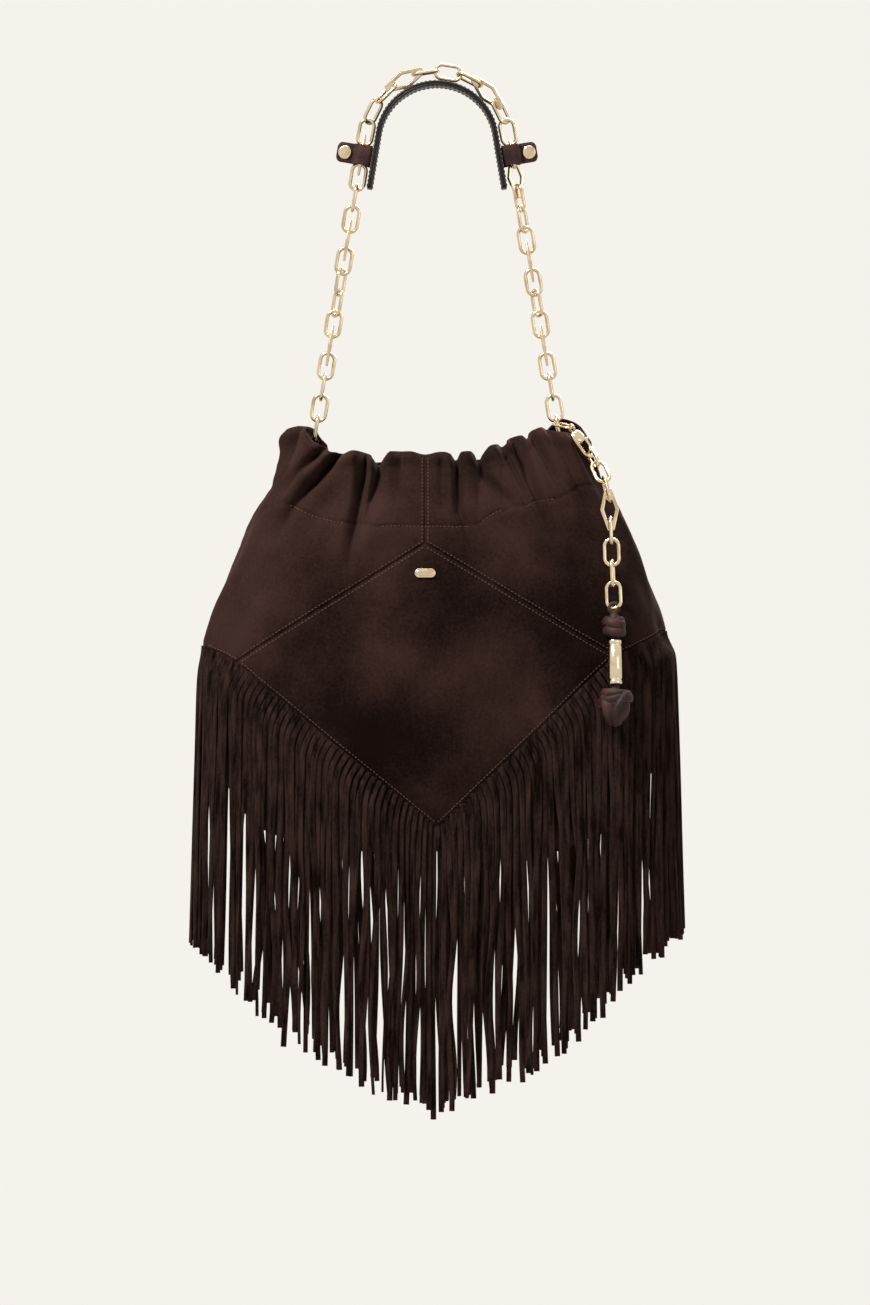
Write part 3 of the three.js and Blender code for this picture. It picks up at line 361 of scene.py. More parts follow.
def add(name, shape, look, body, slot, *nodes):
    """A new piece with its finish, hung on its body, with the nodes it stands for hidden; the slot is not used."""
    made = piece(name, *shape, bpy.data.materials[look])
    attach(made, body)
    if nodes:
        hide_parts(*nodes)
    return made


def node_points(name):
    """Places of a node's corners in millimetres, each once."""
    points = np.array([vertex.co[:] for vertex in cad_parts[name].data.vertices]) * 1000
    return np.unique(points.round(3), axis=0)


def node_axes(name):
    """Middle of a node and its directions: across it, along it with the upper end ahead, and through it."""
    points = node_points(name)
    middle = points.mean(0)
    _, _, axes = np.linalg.svd(points - middle, full_matrices=False)
    spans = (points - middle) @ axes.T
    middle = middle + ((spans.max(0) + spans.min(0)) / 2) @ axes
    order = np.argsort(spans.min(0) - spans.max(0))
    long, wide = axes[order[0]], axes[order[1]]
    if long[2] < 0:
        long = -long
    return middle, wide, long, np.cross(wide, long)


# Finishes


def socket(group, name, kind, way, default=None):
    """A named socket of a group."""
    made = group.interface.new_socket(name, in_out=way, socket_type=kind)
    if default is not None:
        made.default_value = default
    return made


def new_group(name, inputs, outputs):
    """A shader node group with its named inputs and outputs, and helpers to fill it."""
    group = bpy.data.node_groups.new(name, "ShaderNodeTree")
    for label, kind, default in inputs:
        socket(group, label, kind, "INPUT", default)
    for label, kind in outputs:
        socket(group, label, kind, "OUTPUT")
    return group, group.nodes.new("NodeGroupInput"), group.nodes.new("NodeGroupOutput")


def node(tree, kind, values=(), links=()):
    """A node with values on its sockets or settings, and links from other nodes' sockets."""
    made = tree.nodes.new(kind)
    for name, value in dict(values).items():
        if isinstance(name, str) and hasattr(made, name) and name not in made.inputs:
            setattr(made, name, value)
        else:
            made.inputs[name].default_value = value
    for name, source in dict(links).items():
        tree.links.new(source, made.inputs[name])
    return made


def maths(tree, operation, first, second):
    """Result of a sum on numbers or sockets."""
    made = tree.nodes.new("ShaderNodeMath")
    made.operation = operation
    for place, value in enumerate((first, second)):
        if isinstance(value, (int, float)):
            made.inputs[place].default_value = value
        else:
            tree.links.new(value, made.inputs[place])
    return made.outputs[0]


def mixed(tree, share, first, second):
    """Two colours mixed by a share."""
    made = tree.nodes.new("ShaderNodeMix")
    made.data_type = "RGBA"
    for place, value in (("Factor", share), ("A", first), ("B", second)):
        kind = "VALUE" if place == "Factor" else "RGBA"
        target = next(s for s in made.inputs if s.name == place and s.type == kind)
        if isinstance(value, (int, float, tuple)):
            target.default_value = value
        else:
            tree.links.new(value, target)
    return next(s for s in made.outputs if s.type == "RGBA")


def ramp(tree, source, low, high):
    """Soft step of a value from 0 at low to 1 at high."""
    made = tree.nodes.new("ShaderNodeMapRange")
    made.inputs["From Min"].default_value = low
    made.inputs["From Max"].default_value = high
    made.interpolation_type = "SMOOTHSTEP"
    tree.links.new(source, made.inputs["Value"])
    return made.outputs["Result"]


def noise(tree, vector, scale, detail, roughness=0.55):
    """Value of a noise pattern."""
    return node(
        tree, "ShaderNodeTexNoise",
        {"Scale": scale, "Detail": detail, "Roughness": roughness}, {"Vector": vector},
    ).outputs["Fac"]


def stretched(tree, vector, scale):
    """Coordinates scaled by a number for each direction."""
    return node(tree, "ShaderNodeMapping", {"Scale": scale}, {"Vector": vector}).outputs["Vector"]


def nap_group():
    """Brushed nap: soft patches where the pile lies either way, streaks, the fine fibre ends, and painted shade that
    lightens the top and darkens the lower part by height.
    """
    group, given, put = new_group(
        "Nap",
        (("Dark", "NodeSocketColor", (0.02, 0.01, 0.01, 1)), ("Light", "NodeSocketColor", (0.08, 0.05, 0.04, 1)),
         ("Patch Scale", "NodeSocketFloat", 30.0), ("Patch", "NodeSocketFloat", 0.5),
         ("Streak", "NodeSocketFloat", 0.35), ("Painted Height Shade", "NodeSocketFloat", 0.0)),
        (("Color", "NodeSocketColor"), ("Height", "NodeSocketFloat"), ("Roughness", "NodeSocketFloat")),
    )
    place = group.nodes.new("ShaderNodeTexCoord").outputs["Object"]
    warp = node(group, "ShaderNodeTexNoise", {"Scale": 14.0, "Detail": 2.0}, {"Vector": place}).outputs["Color"]
    bent = node(
        group, "ShaderNodeVectorMath", {"operation": "MULTIPLY_ADD", 1: (0.03, 0.03, 0.03)}, {0: warp, 2: place},
    )
    patches = group.nodes.new("ShaderNodeTexNoise")
    patches.inputs["Detail"].default_value = 3.0
    patches.inputs["Roughness"].default_value = 0.5
    group.links.new(given.outputs["Patch Scale"], patches.inputs["Scale"])
    group.links.new(bent.outputs["Vector"], patches.inputs["Vector"])
    streaks = noise(group, stretched(group, place, (260.0, 260.0, 34.0)), 1.0, 3.0)
    fibre = noise(group, place, 1500.0, 2.0, 0.7)
    fluff = noise(group, place, 420.0, 3.0, 0.65)
    lying = maths(group, "SUBTRACT", ramp(group, patches.outputs["Fac"], 0.25, 0.75), 0.5)
    patch = maths(group, "ADD", 0.5, maths(group, "MULTIPLY", lying, given.outputs["Patch"]))
    streak = maths(group, "MULTIPLY", maths(group, "SUBTRACT", streaks, 0.5), given.outputs["Streak"])
    fine = maths(group, "MULTIPLY", maths(group, "SUBTRACT", fibre, 0.5), 0.75)
    soft = maths(group, "MULTIPLY", maths(group, "SUBTRACT", fluff, 0.5), 1.0)
    # Painted shade: by height alone, the colour is pushed lighter near the top and darker towards the bottom, standing
    # in for light from above.
    level = node(group, "ShaderNodeSeparateXYZ", {}, {"Vector": place}).outputs["Z"]
    low = maths(group, "MULTIPLY", maths(group, "ADD", level, 0.45), 2.5)
    change = maths(group, "MINIMUM", low, maths(group, "ADD", level, 0.43))
    fall = maths(group, "MULTIPLY", change, given.outputs["Painted Height Shade"])
    share = maths(group, "ADD", maths(group, "ADD", patch, streak), maths(group, "ADD", fine, soft))
    share = maths(group, "ADD", share, fall)
    colour = mixed(group, share, given.outputs["Dark"], given.outputs["Light"])
    group.links.new(colour, put.inputs["Color"])
    height = maths(group, "ADD", maths(group, "MULTIPLY", fibre, 0.45), maths(group, "MULTIPLY", fluff, 0.55))
    group.links.new(height, put.inputs["Height"])
    group.links.new(maths(group, "SUBTRACT", 0.98, maths(group, "MULTIPLY", patch, 0.12)), put.inputs["Roughness"])
    return group


def grain_group():
    """Smooth hide: a fine pebble of cells with pores, a slow change of tone, and painted shade in the creases between
    the cells.
    """
    group, given, put = new_group(
        "Grain",
        (("Dark", "NodeSocketColor", (0.02, 0.01, 0.01, 1)), ("Light", "NodeSocketColor", (0.08, 0.05, 0.04, 1)),
         ("Cell Scale", "NodeSocketFloat", 900.0)),
        (("Color", "NodeSocketColor"), ("Height", "NodeSocketFloat"), ("Roughness", "NodeSocketFloat")),
    )
    place = group.nodes.new("ShaderNodeTexCoord").outputs["Object"]
    cells = group.nodes.new("ShaderNodeTexVoronoi")
    cells.feature = "DISTANCE_TO_EDGE"
    group.links.new(place, cells.inputs["Vector"])
    group.links.new(given.outputs["Cell Scale"], cells.inputs["Scale"])
    crease = ramp(group, cells.outputs["Distance"], 0.0, 0.22)
    tone = noise(group, place, 70.0, 4.0)
    pores = noise(group, place, 700.0, 2.0)
    # Painted shade: the colour darkens in the creases between the cells.
    lit = maths(group, "ADD", maths(group, "MULTIPLY", crease, 0.35), 0.65)
    share = maths(group, "MULTIPLY", ramp(group, tone, 0.3, 0.7), lit)
    group.links.new(mixed(group, share, given.outputs["Dark"], given.outputs["Light"]), put.inputs["Color"])
    height = maths(group, "ADD", maths(group, "MULTIPLY", crease, 0.7), maths(group, "MULTIPLY", pores, 0.3))
    group.links.new(height, put.inputs["Height"])
    group.links.new(maths(group, "ADD", 0.34, maths(group, "MULTIPLY", tone, 0.25)), put.inputs["Roughness"])
    return group


def plate_group():
    """Plated metal: faint clouding of the plate, hairline scratches and rubbed spots."""
    group, given, put = new_group(
        "Plate",
        (("Pale", "NodeSocketColor", (0.8, 0.65, 0.4, 1)), ("Deep", "NodeSocketColor", (0.6, 0.4, 0.2, 1))),
        (("Color", "NodeSocketColor"), ("Height", "NodeSocketFloat"), ("Roughness", "NodeSocketFloat")),
    )
    place = group.nodes.new("ShaderNodeTexCoord").outputs["Object"]
    cloud = noise(group, place, 90.0, 4.0)
    scratch = noise(group, stretched(group, place, (2600.0, 2600.0, 130.0)), 1.0, 2.0)
    other = noise(group, stretched(group, place, (150.0, 2300.0, 2300.0)), 1.0, 2.0)
    share = ramp(group, cloud, 0.38, 0.75)
    group.links.new(mixed(group, share, given.outputs["Pale"], given.outputs["Deep"]), put.inputs["Color"])
    lines = maths(group, "ADD", ramp(group, scratch, 0.6, 0.75), ramp(group, other, 0.62, 0.75))
    group.links.new(maths(group, "MULTIPLY", lines, -1.0), put.inputs["Height"])
    rough = maths(group, "ADD", maths(group, "MULTIPLY", cloud, 0.16), maths(group, "MULTIPLY", lines, 0.07))
    group.links.new(maths(group, "ADD", 0.1, rough), put.inputs["Roughness"])
    return group


def weave_group():
    """Plain weave: two sets of threads that pass over and under, with slubs, and painted shade where a thread passes
    under.
    """
    group, given, put = new_group(
        "Weave",
        (("Dark", "NodeSocketColor", (0.02, 0.01, 0.01, 1)), ("Light", "NodeSocketColor", (0.08, 0.05, 0.04, 1)),
         ("Threads", "NodeSocketFloat", 260.0)),
        (("Color", "NodeSocketColor"), ("Height", "NodeSocketFloat")),
    )
    place = group.nodes.new("ShaderNodeTexCoord").outputs["Object"]
    waves = []
    for direction in ("X", "Z"):
        look = {"bands_direction": direction, "Distortion": 0.6, "Detail": 1.0}
        wave = node(group, "ShaderNodeTexWave", look, {"Vector": place})
        group.links.new(given.outputs["Threads"], wave.inputs["Scale"])
        waves.append(wave.outputs["Fac"])
    # Painted shade: the colour is darker between the threads, where one passes under the other.
    over = maths(group, "MAXIMUM", waves[0], waves[1])
    slub = noise(group, place, 160.0, 3.0)
    share = maths(group, "MULTIPLY", over, maths(group, "ADD", 0.5, maths(group, "MULTIPLY", slub, 0.6)))
    group.links.new(mixed(group, share, given.outputs["Dark"], given.outputs["Light"]), put.inputs["Color"])
    group.links.new(over, put.inputs["Height"])
    return group


def finish(name, group_name, values, bump, distance, fixed):
    """A finish: one of the groups drives colour, roughness and bump; fixed values sit on the shader."""
    material = bpy.data.materials.new(name)
    material.use_nodes = True
    tree = material.node_tree
    shader = next(n for n in tree.nodes if n.type == "BSDF_PRINCIPLED")
    pattern = tree.nodes.new("ShaderNodeGroup")
    pattern.node_tree = bpy.data.node_groups[group_name]
    for label, value in values.items():
        pattern.inputs[label].default_value = value
    tree.links.new(pattern.outputs["Color"], shader.inputs["Base Color"])
    if "Roughness" in pattern.outputs and "Roughness" not in fixed:
        tree.links.new(pattern.outputs["Roughness"], shader.inputs["Roughness"])
    relief = tree.nodes.new("ShaderNodeBump")
    relief.inputs["Strength"].default_value = bump
    relief.inputs["Distance"].default_value = distance
    tree.links.new(pattern.outputs["Height"], relief.inputs["Height"])
    tree.links.new(relief.outputs["Normal"], shader.inputs["Normal"])
    for label, value in fixed.items():
        shader.inputs[label].default_value = value
    material.diffuse_color = list(values.values())[0]
    return material


def thicken(made, label, thickness):
    """Gives a sheet its thickness, on the inside."""
    thick = made.modifiers.new(label, "SOLIDIFY")
    thick.thickness = thickness
    thick.offset = -1.0


def opaque(colour, strength=1.0):
    """A colour with its alpha, made darker or lighter."""
    return (colour[0] * strength, colour[1] * strength, colour[2] * strength, 1.0)


# Suede body


def lower_seam(x):
    """Height of the seam that carries the fringe, by place across the bag."""
    x = np.asarray(x, float)
    left = x < 0
    corner_x = np.where(left, LEFT_CORNER[0], RIGHT_CORNER[0])
    corner_z = np.where(left, LEFT_CORNER[1], RIGHT_CORNER[1])
    away = np.abs(x) - np.abs(corner_x)
    outside = corner_z + away * np.where(left, SIDE_RISE[0], SIDE_RISE[1])
    return np.where(away > 0, outside, FOOT[1] + (corner_z - FOOT[1]) * x / corner_x)


def half_sizes(z):
    """Half width and half depth of the body at a height."""
    rising = LEVELS[::-1]
    return through(rising[:, :2], z), through(rising[:, (0, 2)], z)


def plan_place(angle, wide, deep):
    """Place on the rounded oblong plan at an angle."""
    power = 2 / SQUARENESS
    cosine, sine = np.cos(angle), np.sin(angle)
    return wide * np.sign(cosine) * np.abs(cosine) ** power, deep * np.sign(sine) * np.abs(sine) ** power


def angle_at(x, z, front):
    """Plan angle of the front or back surface at a place seen from the front."""
    wide, _ = half_sizes(z)
    share = np.clip(np.abs(x) / wide, 0, 1) ** (SQUARENESS / 2)
    angle = np.arccos(np.clip(np.sign(x) * share, -1, 1))
    return np.where(front, -angle, angle)


def to_segment(x, z, start, end):
    """Distance of places from a line between two points."""
    start, end = np.array(start), np.array(end)
    along = end - start
    t = np.clip(((x - start[0]) * along[0] + (z - start[1]) * along[1]) / along.dot(along), 0, 1)
    return np.hypot(x - start[0] - t * along[0], z - start[1] - t * along[1])


SEAMS = (
    (APEX, LEFT_CORNER), (APEX, RIGHT_CORNER), (LEFT_CORNER, FOOT), (RIGHT_CORNER, FOOT),
    (LEFT_CORNER, (-200.0, float(lower_seam(-200)))), (RIGHT_CORNER, (200.0, float(lower_seam(200)))),
    (APEX, (APEX[0], -200.0)),
)


def gathers(x, z, facing):
    """How far the gathers stand out or fold in, where facing goes from 1 at the front to 0 at the back."""
    out = np.zeros_like(x)
    for share, across, wider in ((facing, 1.0, 1.0), (1 - facing, -0.94, 1.15)):
        for depth, half, line in GATHERS:
            line = np.array(line) * (across, 1.0)
            parts = np.diff(line, axis=0)
            ends = np.concatenate([[0], np.cumsum(np.hypot(*parts.T))])
            nearest, reached = np.full(x.shape, 1e9), np.zeros_like(x)
            for start, part, before, after in zip(line, parts, ends, ends[1:]):
                t = np.clip(((x - start[0]) * part[0] + (z - start[1]) * part[1]) / part.dot(part), 0, 1)
                off = np.hypot(x - start[0] - t * part[0], z - start[1] - t * part[1])
                reached = np.where(off < nearest, (before + t * (after - before)) / ends[-1], reached)
                nearest = np.minimum(nearest, off)
            off = np.sqrt(nearest ** 2 + 0.1) / (0.8 * half * wider * (1 + 0.7 * reached))
            fold = 0.6 * (1 - np.exp(-off * off)) * np.exp(-((off / 2.8) ** 2)) - np.exp(-off)
            out += share * depth * np.minimum(1, 0.8 + 2 * reached) * (1 - reached) ** 0.9 * fold
    return out


def suede_surface(angle, z, inwards=0.0):
    """Points of the bag's outer surface by plan angle and height, with gathers, seams and slack."""
    angle, z = np.asarray(angle, float), np.asarray(z, float)
    sizes = bpy.context.scene.bag_sizes
    wide, deep = half_sizes(z)
    x, y = plan_place(angle, wide, deep)
    step = 0.004
    before, after = plan_place(angle - step, wide, deep), plan_place(angle + step, wide, deep)
    out = unit(np.stack([after[1] - before[1], before[0] - after[0]], -1))
    seam = np.min([to_segment(x, z, *line) for line in SEAMS], 0)
    side = np.where(z > lower_seam(x), np.abs(y), 40.0)
    seam = np.minimum(seam, side)
    slack = (
        1.3 * np.sin(5 * angle + z / 31)
        + 1.2 * np.sin(8 * angle - z / 23 + 1.3)
        + 0.8 * np.sin(13 * angle + z / 17 + 0.4)
        + 0.4 * np.sin(21 * angle - z / 11 + 2.2)
    )
    calm = smooth_step(-588, -560, z)
    puff = sizes.puff * 1000 * (1 - np.exp(-seam / 13)) - 1.1 * np.exp(-((seam / 0.8) ** 2))
    pull = 0.5 * np.sin(seam / 2.1) * np.exp(-seam / 7) * np.sin(x / 3.1 + z / 2.7)
    casing = np.where(np.abs(x) < 120, np.abs(z - through(CASING, x)), 40)
    nip = -1.0 * np.exp(-((casing / 2.0) ** 2))
    share = smooth_step(MOUTH_Z - GATHER_LENGTH, MOUTH_Z, z)
    facing = smooth_step(-7, 7, -y)
    rim = facing * through(RIM_FRONT, x) + (1 - facing) * through(RIM_BACK, x)
    height = z + (rim - MOUTH_Z) * share
    fold = sizes.gather_depth * gathers(x, height, facing)
    lip = 2.0 * smooth_step(MOUTH_Z - 14, MOUTH_Z - 5, z) - 4.5 * smooth_step(MOUTH_Z - 5, MOUTH_Z + 2, z)
    covered = smooth_step(0, 5, lower_seam(x) - z)
    move = fold + calm * (slack + puff + pull) * (1 - covered) - 1.6 * covered + nip + lip - inwards
    return np.stack([x + out[..., 0] * move, y + out[..., 1] * move, height], -1)


def surface_at(x, z, front):
    """Points of the suede at places seen from the front."""
    return suede_surface(angle_at(x, z, front), z)


def even_angles(count):
    """Plan angles at even steps round the fullest level."""
    fine = np.linspace(0, 2 * np.pi, 4001)
    x, y = plan_place(fine, LEVELS[:, 1].max(), LEVELS[:, 2].max())
    travelled = np.concatenate([[0], np.cumsum(np.hypot(np.diff(x), np.diff(y)))])
    quarter = np.interp(np.linspace(0, travelled[1000], count // 4 + 1), travelled[:1001], fine[:1001])
    half = np.concatenate([quarter, np.pi - quarter[-2::-1]])
    return np.concatenate([half, half[1:-1] + np.pi])


def body_heights():
    """Heights of the rows of the suede, closer together in the gathers."""
    return np.concatenate([np.linspace(MOUTH_Z, -352, 76), np.linspace(-354, LEVELS[-1, 0], 106)])


def body_shell(columns, heights, floor_rows=6):
    """The plain shell as a mesh in plan angle and height, with its foot closed."""
    angles = even_angles(columns)
    rings = []
    for z in heights:
        wide, deep = half_sizes(np.full(len(angles), z))
        x, y = plan_place(angles, wide, deep)
        rings.append(np.stack([x, y, np.full(len(angles), z)], -1))
    for step in range(1, floor_rows + 1):
        share = step / floor_rows
        ring = rings[len(heights) - 1].copy()
        ring[:, 1] *= max(1 - share, 0.01)
        ring[:, 0] *= 1 - 0.04 * share
        ring[:, 2] -= 1.4 * math.sin(share * math.pi / 2)
        rings.append(ring)
    return skin(rings[::-1], caps=False)


def body_panels():
    """Points and faces of each panel, cut along the seams."""
    points, faces = body_shell(480, body_heights())
    mesh = bmesh.new()
    corners = [mesh.verts.new(point) for point in points]
    for face in faces:
        mesh.faces.new([corners[index] for index in face])
    for (x0, z0), (x1, z1) in SEAMS:
        low, high = min(x0, x1) - 4, max(x0, x1) + 4
        bottom, top = min(z0, z1) - 4, max(z0, z1) + 4
        near = [f for f in mesh.faces if any(low < v.co.x < high and bottom < v.co.z < top for v in f.verts)]
        geometry = list({e for f in near for e in f.edges} | {v for f in near for v in f.verts} | set(near))
        bmesh.ops.bisect_plane(mesh, geom=geometry, dist=0.02, plane_co=(x0, 0, z0), plane_no=(z0 - z1, 0, x1 - x0))
    mesh.verts.index_update()
    places = np.array([vertex.co[:] for vertex in mesh.verts])
    faces = [tuple(vertex.index for vertex in face.verts) for face in mesh.faces]
    mesh.free()
    floor = places[:, 2] < LEVELS[-1, 0] - 1e-3
    wide, deep = half_sizes(places[:, 2])
    power = SQUARENESS / 2
    cosine = np.sign(places[:, 0]) * (np.abs(places[:, 0]) / wide) ** power
    sine = np.sign(places[:, 1]) * (np.abs(places[:, 1]) / deep) ** power
    shaped = suede_surface(np.arctan2(sine, cosine), places[:, 2])
    shaped[floor] = places[floor]
    centres = np.array([places[list(face)].mean(0) for face in faces])
    seam = lower_seam(centres[:, 0])
    below = centres[:, 2] < seam
    roof = np.where(
        centres[:, 0] < APEX[0],
        APEX[1] + (LEFT_CORNER[1] - APEX[1]) * (centres[:, 0] - APEX[0]) / (LEFT_CORNER[0] - APEX[0]),
        APEX[1] + (RIGHT_CORNER[1] - APEX[1]) * (centres[:, 0] - APEX[0]) / (RIGHT_CORNER[0] - APEX[0]),
    )
    between = (centres[:, 0] > LEFT_CORNER[0]) & (centres[:, 0] < RIGHT_CORNER[0])
    lozenge = ~below & between & (centres[:, 2] < roof)
    names = np.where(below, "lower", np.where(lozenge, "lozenge", np.where(centres[:, 0] < APEX[0], "left", "right")))
    facing = np.where(centres[:, 1] < 0, "front", "back")
    panels = {}
    for index, face in enumerate(faces):
        label = "lower_panel" if names[index] == "lower" else f"{facing[index]}_{names[index]}_panel"
        panels.setdefault(label, []).append(face)
    made = {}
    for label, some in panels.items():
        used = sorted({corner for face in some for corner in face})
        number = {corner: place for place, corner in enumerate(used)}
        made[label] = shaped[used], [tuple(number[corner] for corner in face) for face in some]
    return made


def thread_row(places, front, sizes):
    """Stitches along a row of (x, z) places on the suede."""
    places = np.asarray(places, float)
    line = surface_at(places[:, 0], places[:, 1], np.full(len(places), front))
    travelled = np.concatenate([[0], np.cumsum(np.linalg.norm(np.diff(line, axis=0), axis=1))])
    pitch, length = sizes.stitch_pitch * 1000, sizes.stitch_length * 1000
    starts = np.arange(0.5, travelled[-1] - length, pitch)
    at = (starts[:, None] + length * np.linspace(0, 1, 5)).ravel()
    x, z = (np.interp(at, travelled, places[:, i]) for i in (0, 1))
    side = np.full(len(at), front)
    middle, beside, above = surface_at(x, z, side), surface_at(x + 0.4, z, side), surface_at(x, z + 0.4, side)
    out = unit(np.cross(beside - middle, above - middle)) * (1 if front else -1)
    middle, out = middle.reshape(-1, 5, 3), out.reshape(-1, 5, 3)
    lift = np.array([-0.1, 0.26, 0.36, 0.26, -0.1])[:, None]
    wide, high = np.array([0.16, 0.3, 0.34, 0.3, 0.16]), np.array([0.14, 0.26, 0.3, 0.26, 0.14])
    return [tube(some + up * lift, wide, high, 6, first=up[2]) for some, up in zip(middle, out)]


def beside_line(start, end, off, count=60, ends=(0.0, 1.0)):
    """Places along a line, moved sideways by a distance."""
    start, end = np.array(start, float), np.array(end, float)
    along = end - start
    side = np.array([-along[1], along[0]]) / np.hypot(*along)
    share = np.linspace(*ends, count)[:, None]
    return start + along * share + side * off


def seam_rows():
    """Rows of stitches on one side of the bag, as places across it and heights."""
    top = (APEX[0], MOUTH_Z - 3.0)
    found = [beside_line(top, APEX, off) for off in (2.3, -2.3)]
    for corner in (LEFT_CORNER, RIGHT_CORNER):
        found += [beside_line(APEX, corner, off, 80, (0.015, 0.985)) for off in (2.2, -2.2)]
        inner = 3.4 if corner[0] < 0 else -3.4
        found.append(beside_line(corner, FOOT, inner, 80, (0.02, 0.985)))
    for corner, end in ((LEFT_CORNER, -175.0), (RIGHT_CORNER, 175.0)):
        found.append(beside_line(corner, (end, float(lower_seam(end))), -3.2 if end < 0 else 3.2, 20))
    for first, last in CASING_SHOWN:
        x = np.linspace(first, last, 40)
        found.append(np.stack([x, through(CASING, x)], -1))
    return found


# Fringe


def widest_below(z):
    """Half width and half depth that a strand hanging from a height has to clear."""
    heights = np.linspace(-584, z, 60)
    wide, deep = half_sizes(heights)
    return wide.max(), deep.max()


def fringe_root(angle):
    """Seam point, hanging point, height and outward direction of the curtain at a plan angle."""
    z = FOOT[1]
    for _ in range(24):
        wide, deep = (float(value) for value in half_sizes(z))
        x, _ = plan_place(angle, wide, deep)
        z = (z + float(lower_seam(x))) / 2
    full_wide, full_deep = widest_below(z)
    seam = suede_surface(np.array([angle]), np.array([z]))[0, :2]
    hang = np.array(plan_place(angle, full_wide + 2.2, full_deep + 2.2))
    ahead = np.array(plan_place(angle + 0.02, full_wide, full_deep))
    back = np.array(plan_place(angle - 0.02, full_wide, full_deep))
    along = unit(ahead - back)
    return seam, hang, z, along, np.array([along[1], -along[0]])


def fringe_quarter(first, last, seed, sizes):
    """Strands of a quarter of the curtain as points and faces, with the area of suede in them."""
    chance = np.random.default_rng(seed)
    fine = np.linspace(first, last, 101)
    roots = [fringe_root(angle) for angle in fine]
    hang = np.array([root[1] for root in roots])
    heights = np.array([root[2] for root in roots])
    travelled = np.concatenate([[0], np.cumsum(np.linalg.norm(np.diff(hang, axis=0), axis=1))])
    spacing = sizes.strand_spacing * 1000
    count = int(travelled[-1] / spacing)
    pitch = travelled[-1] / count
    slope = np.gradient(heights, travelled)
    parts, area = [], 0.0
    for strand in range(count):
        at = (strand + 0.5) * pitch
        seam, drop, z, along, out = fringe_root(np.interp(at, travelled, fine))
        lean = math.atan(np.interp(at, travelled, slope))
        length = through(FRINGE_LENGTHS, np.array([drop[0]]))[0] + chance.normal(0, 3.0)
        run = np.concatenate([np.linspace(0, 26, 12), np.linspace(26, length, 19)[1:]])
        bend = lean * min(1.0, abs(drop[0]) / 60) * np.exp(-((run / 15) ** 1.4))
        sway = chance.normal(0, 0.018)
        sway = sway + chance.normal(0, 0.05) * np.sin(run / chance.uniform(16, 40) + chance.uniform(0, 6))
        heading = bend + sway * smooth_step(15, 90, run)
        pace = np.diff(run, prepend=0)
        sideways = np.cumsum(np.sin(heading) * pace)
        fall = np.cumsum(np.cos(heading) * pace)
        leave = smooth_step(0, 20, run)[:, None]
        stand = 6.0 * (fall / 222) + chance.uniform(-1.2, 1.6) * smooth_step(4, 34, run)
        stand += chance.normal(0, 0.7) * np.sin(run / 33 + chance.uniform(0, 6)) * smooth_step(30, 160, run)
        plan = seam + (drop - seam) * leave + out * (stand + 0.9)[:, None] + along * sideways[:, None]
        path = np.column_stack([plan, z + 1.2 - fall])
        level = np.array([along[0], along[1], 0.0])
        outward = np.array([out[0], out[1], 0.0])
        direction = tangents(path)
        turn = chance.normal(0, 0.26) * smooth_step(10, 60, run) + chance.normal(0, 0.6) * smooth_step(60, length, run)
        across = unit(level - direction * (direction @ level)[:, None])
        over = unit(np.cross(direction, across))
        over = over * np.sign(over @ outward)[:, None]
        wide = across * np.cos(turn)[:, None] + over * np.sin(turn)[:, None]
        thick = over * np.cos(turn)[:, None] - across * np.sin(turn)[:, None]
        breadth = sizes.strand_width * 1000 * (1 + 0.24 * np.exp(-run / 9)) * chance.normal(1, 0.03)
        section = np.array([rounded_section(b, 1.7, 0.8, 2) for b in breadth])
        parts.append(strip(path, wide, thick, section))
        area += length * sizes.strand_width / 1000
    return joined(parts), area, travelled[-1] / 1000


# Chain


def strap_point(distance):
    """Place on the chain's line, from the top of the arch; right is positive."""
    side = 1 if distance >= 0 else -1
    away = abs(distance)
    half = math.pi / 2 - SPLAY
    angle = min(away / STRAP_RADIUS, half)
    x = STRAP_RADIUS * math.sin(angle)
    z = -PAD_RADIUS + STRAP_RADIUS * math.cos(angle)
    rest = max(0.0, away - STRAP_RADIUS * half)
    return np.array([side * (x + rest * math.sin(SPLAY)), 0.0, z - rest * math.cos(SPLAY)])


def strap_frame(distance, twist):
    """Middle, width, length and thickness directions of a link on the strap."""
    start, end = strap_point(distance - PITCH / 2), strap_point(distance + PITCH / 2)
    along = unit(end - start)
    wide = turned(np.cross(along, (0, 1, 0)), along, twist)
    return (start + end) / 2, wide, along, np.cross(wide, along)


def oval_link(length, width, wire, sides=14, steps=40):
    """A link of round wire: straight sides between half circles. Long on Y, wide on X."""
    radius, straight = (width - wire) / 2, (length - width) / 2
    turn = np.linspace(0, 2 * np.pi, steps, endpoint=False) + np.pi / steps
    path = np.stack([radius * np.cos(turn), radius * np.sin(turn) + straight * np.sign(np.sin(turn)), 0 * turn], -1)
    return tube(path, wire / 2, wire / 2, sides, True, (0, 0, 1))


def hexagon(length, width, end):
    """Outline of a hexagon with flat ends."""
    return [(width / 2, 0), (end / 2, length / 2), (-end / 2, length / 2),
            (-width / 2, 0), (-end / 2, -length / 2), (end / 2, -length / 2)]


def eased(outline, radius, steps=3):
    """A closed outline with each corner rounded off."""
    outline = np.array(outline, float)
    soft = []
    for index, corner in enumerate(outline):
        before, after = outline[index - 1], outline[(index + 1) % len(outline)]
        start = corner + unit(before - corner) * radius
        end = corner + unit(after - corner) * radius
        for share in np.linspace(0, 1, steps + 1):
            soft.append((1 - share) ** 2 * start + 2 * share * (1 - share) * corner + share ** 2 * end)
    return [tuple(point) for point in soft]


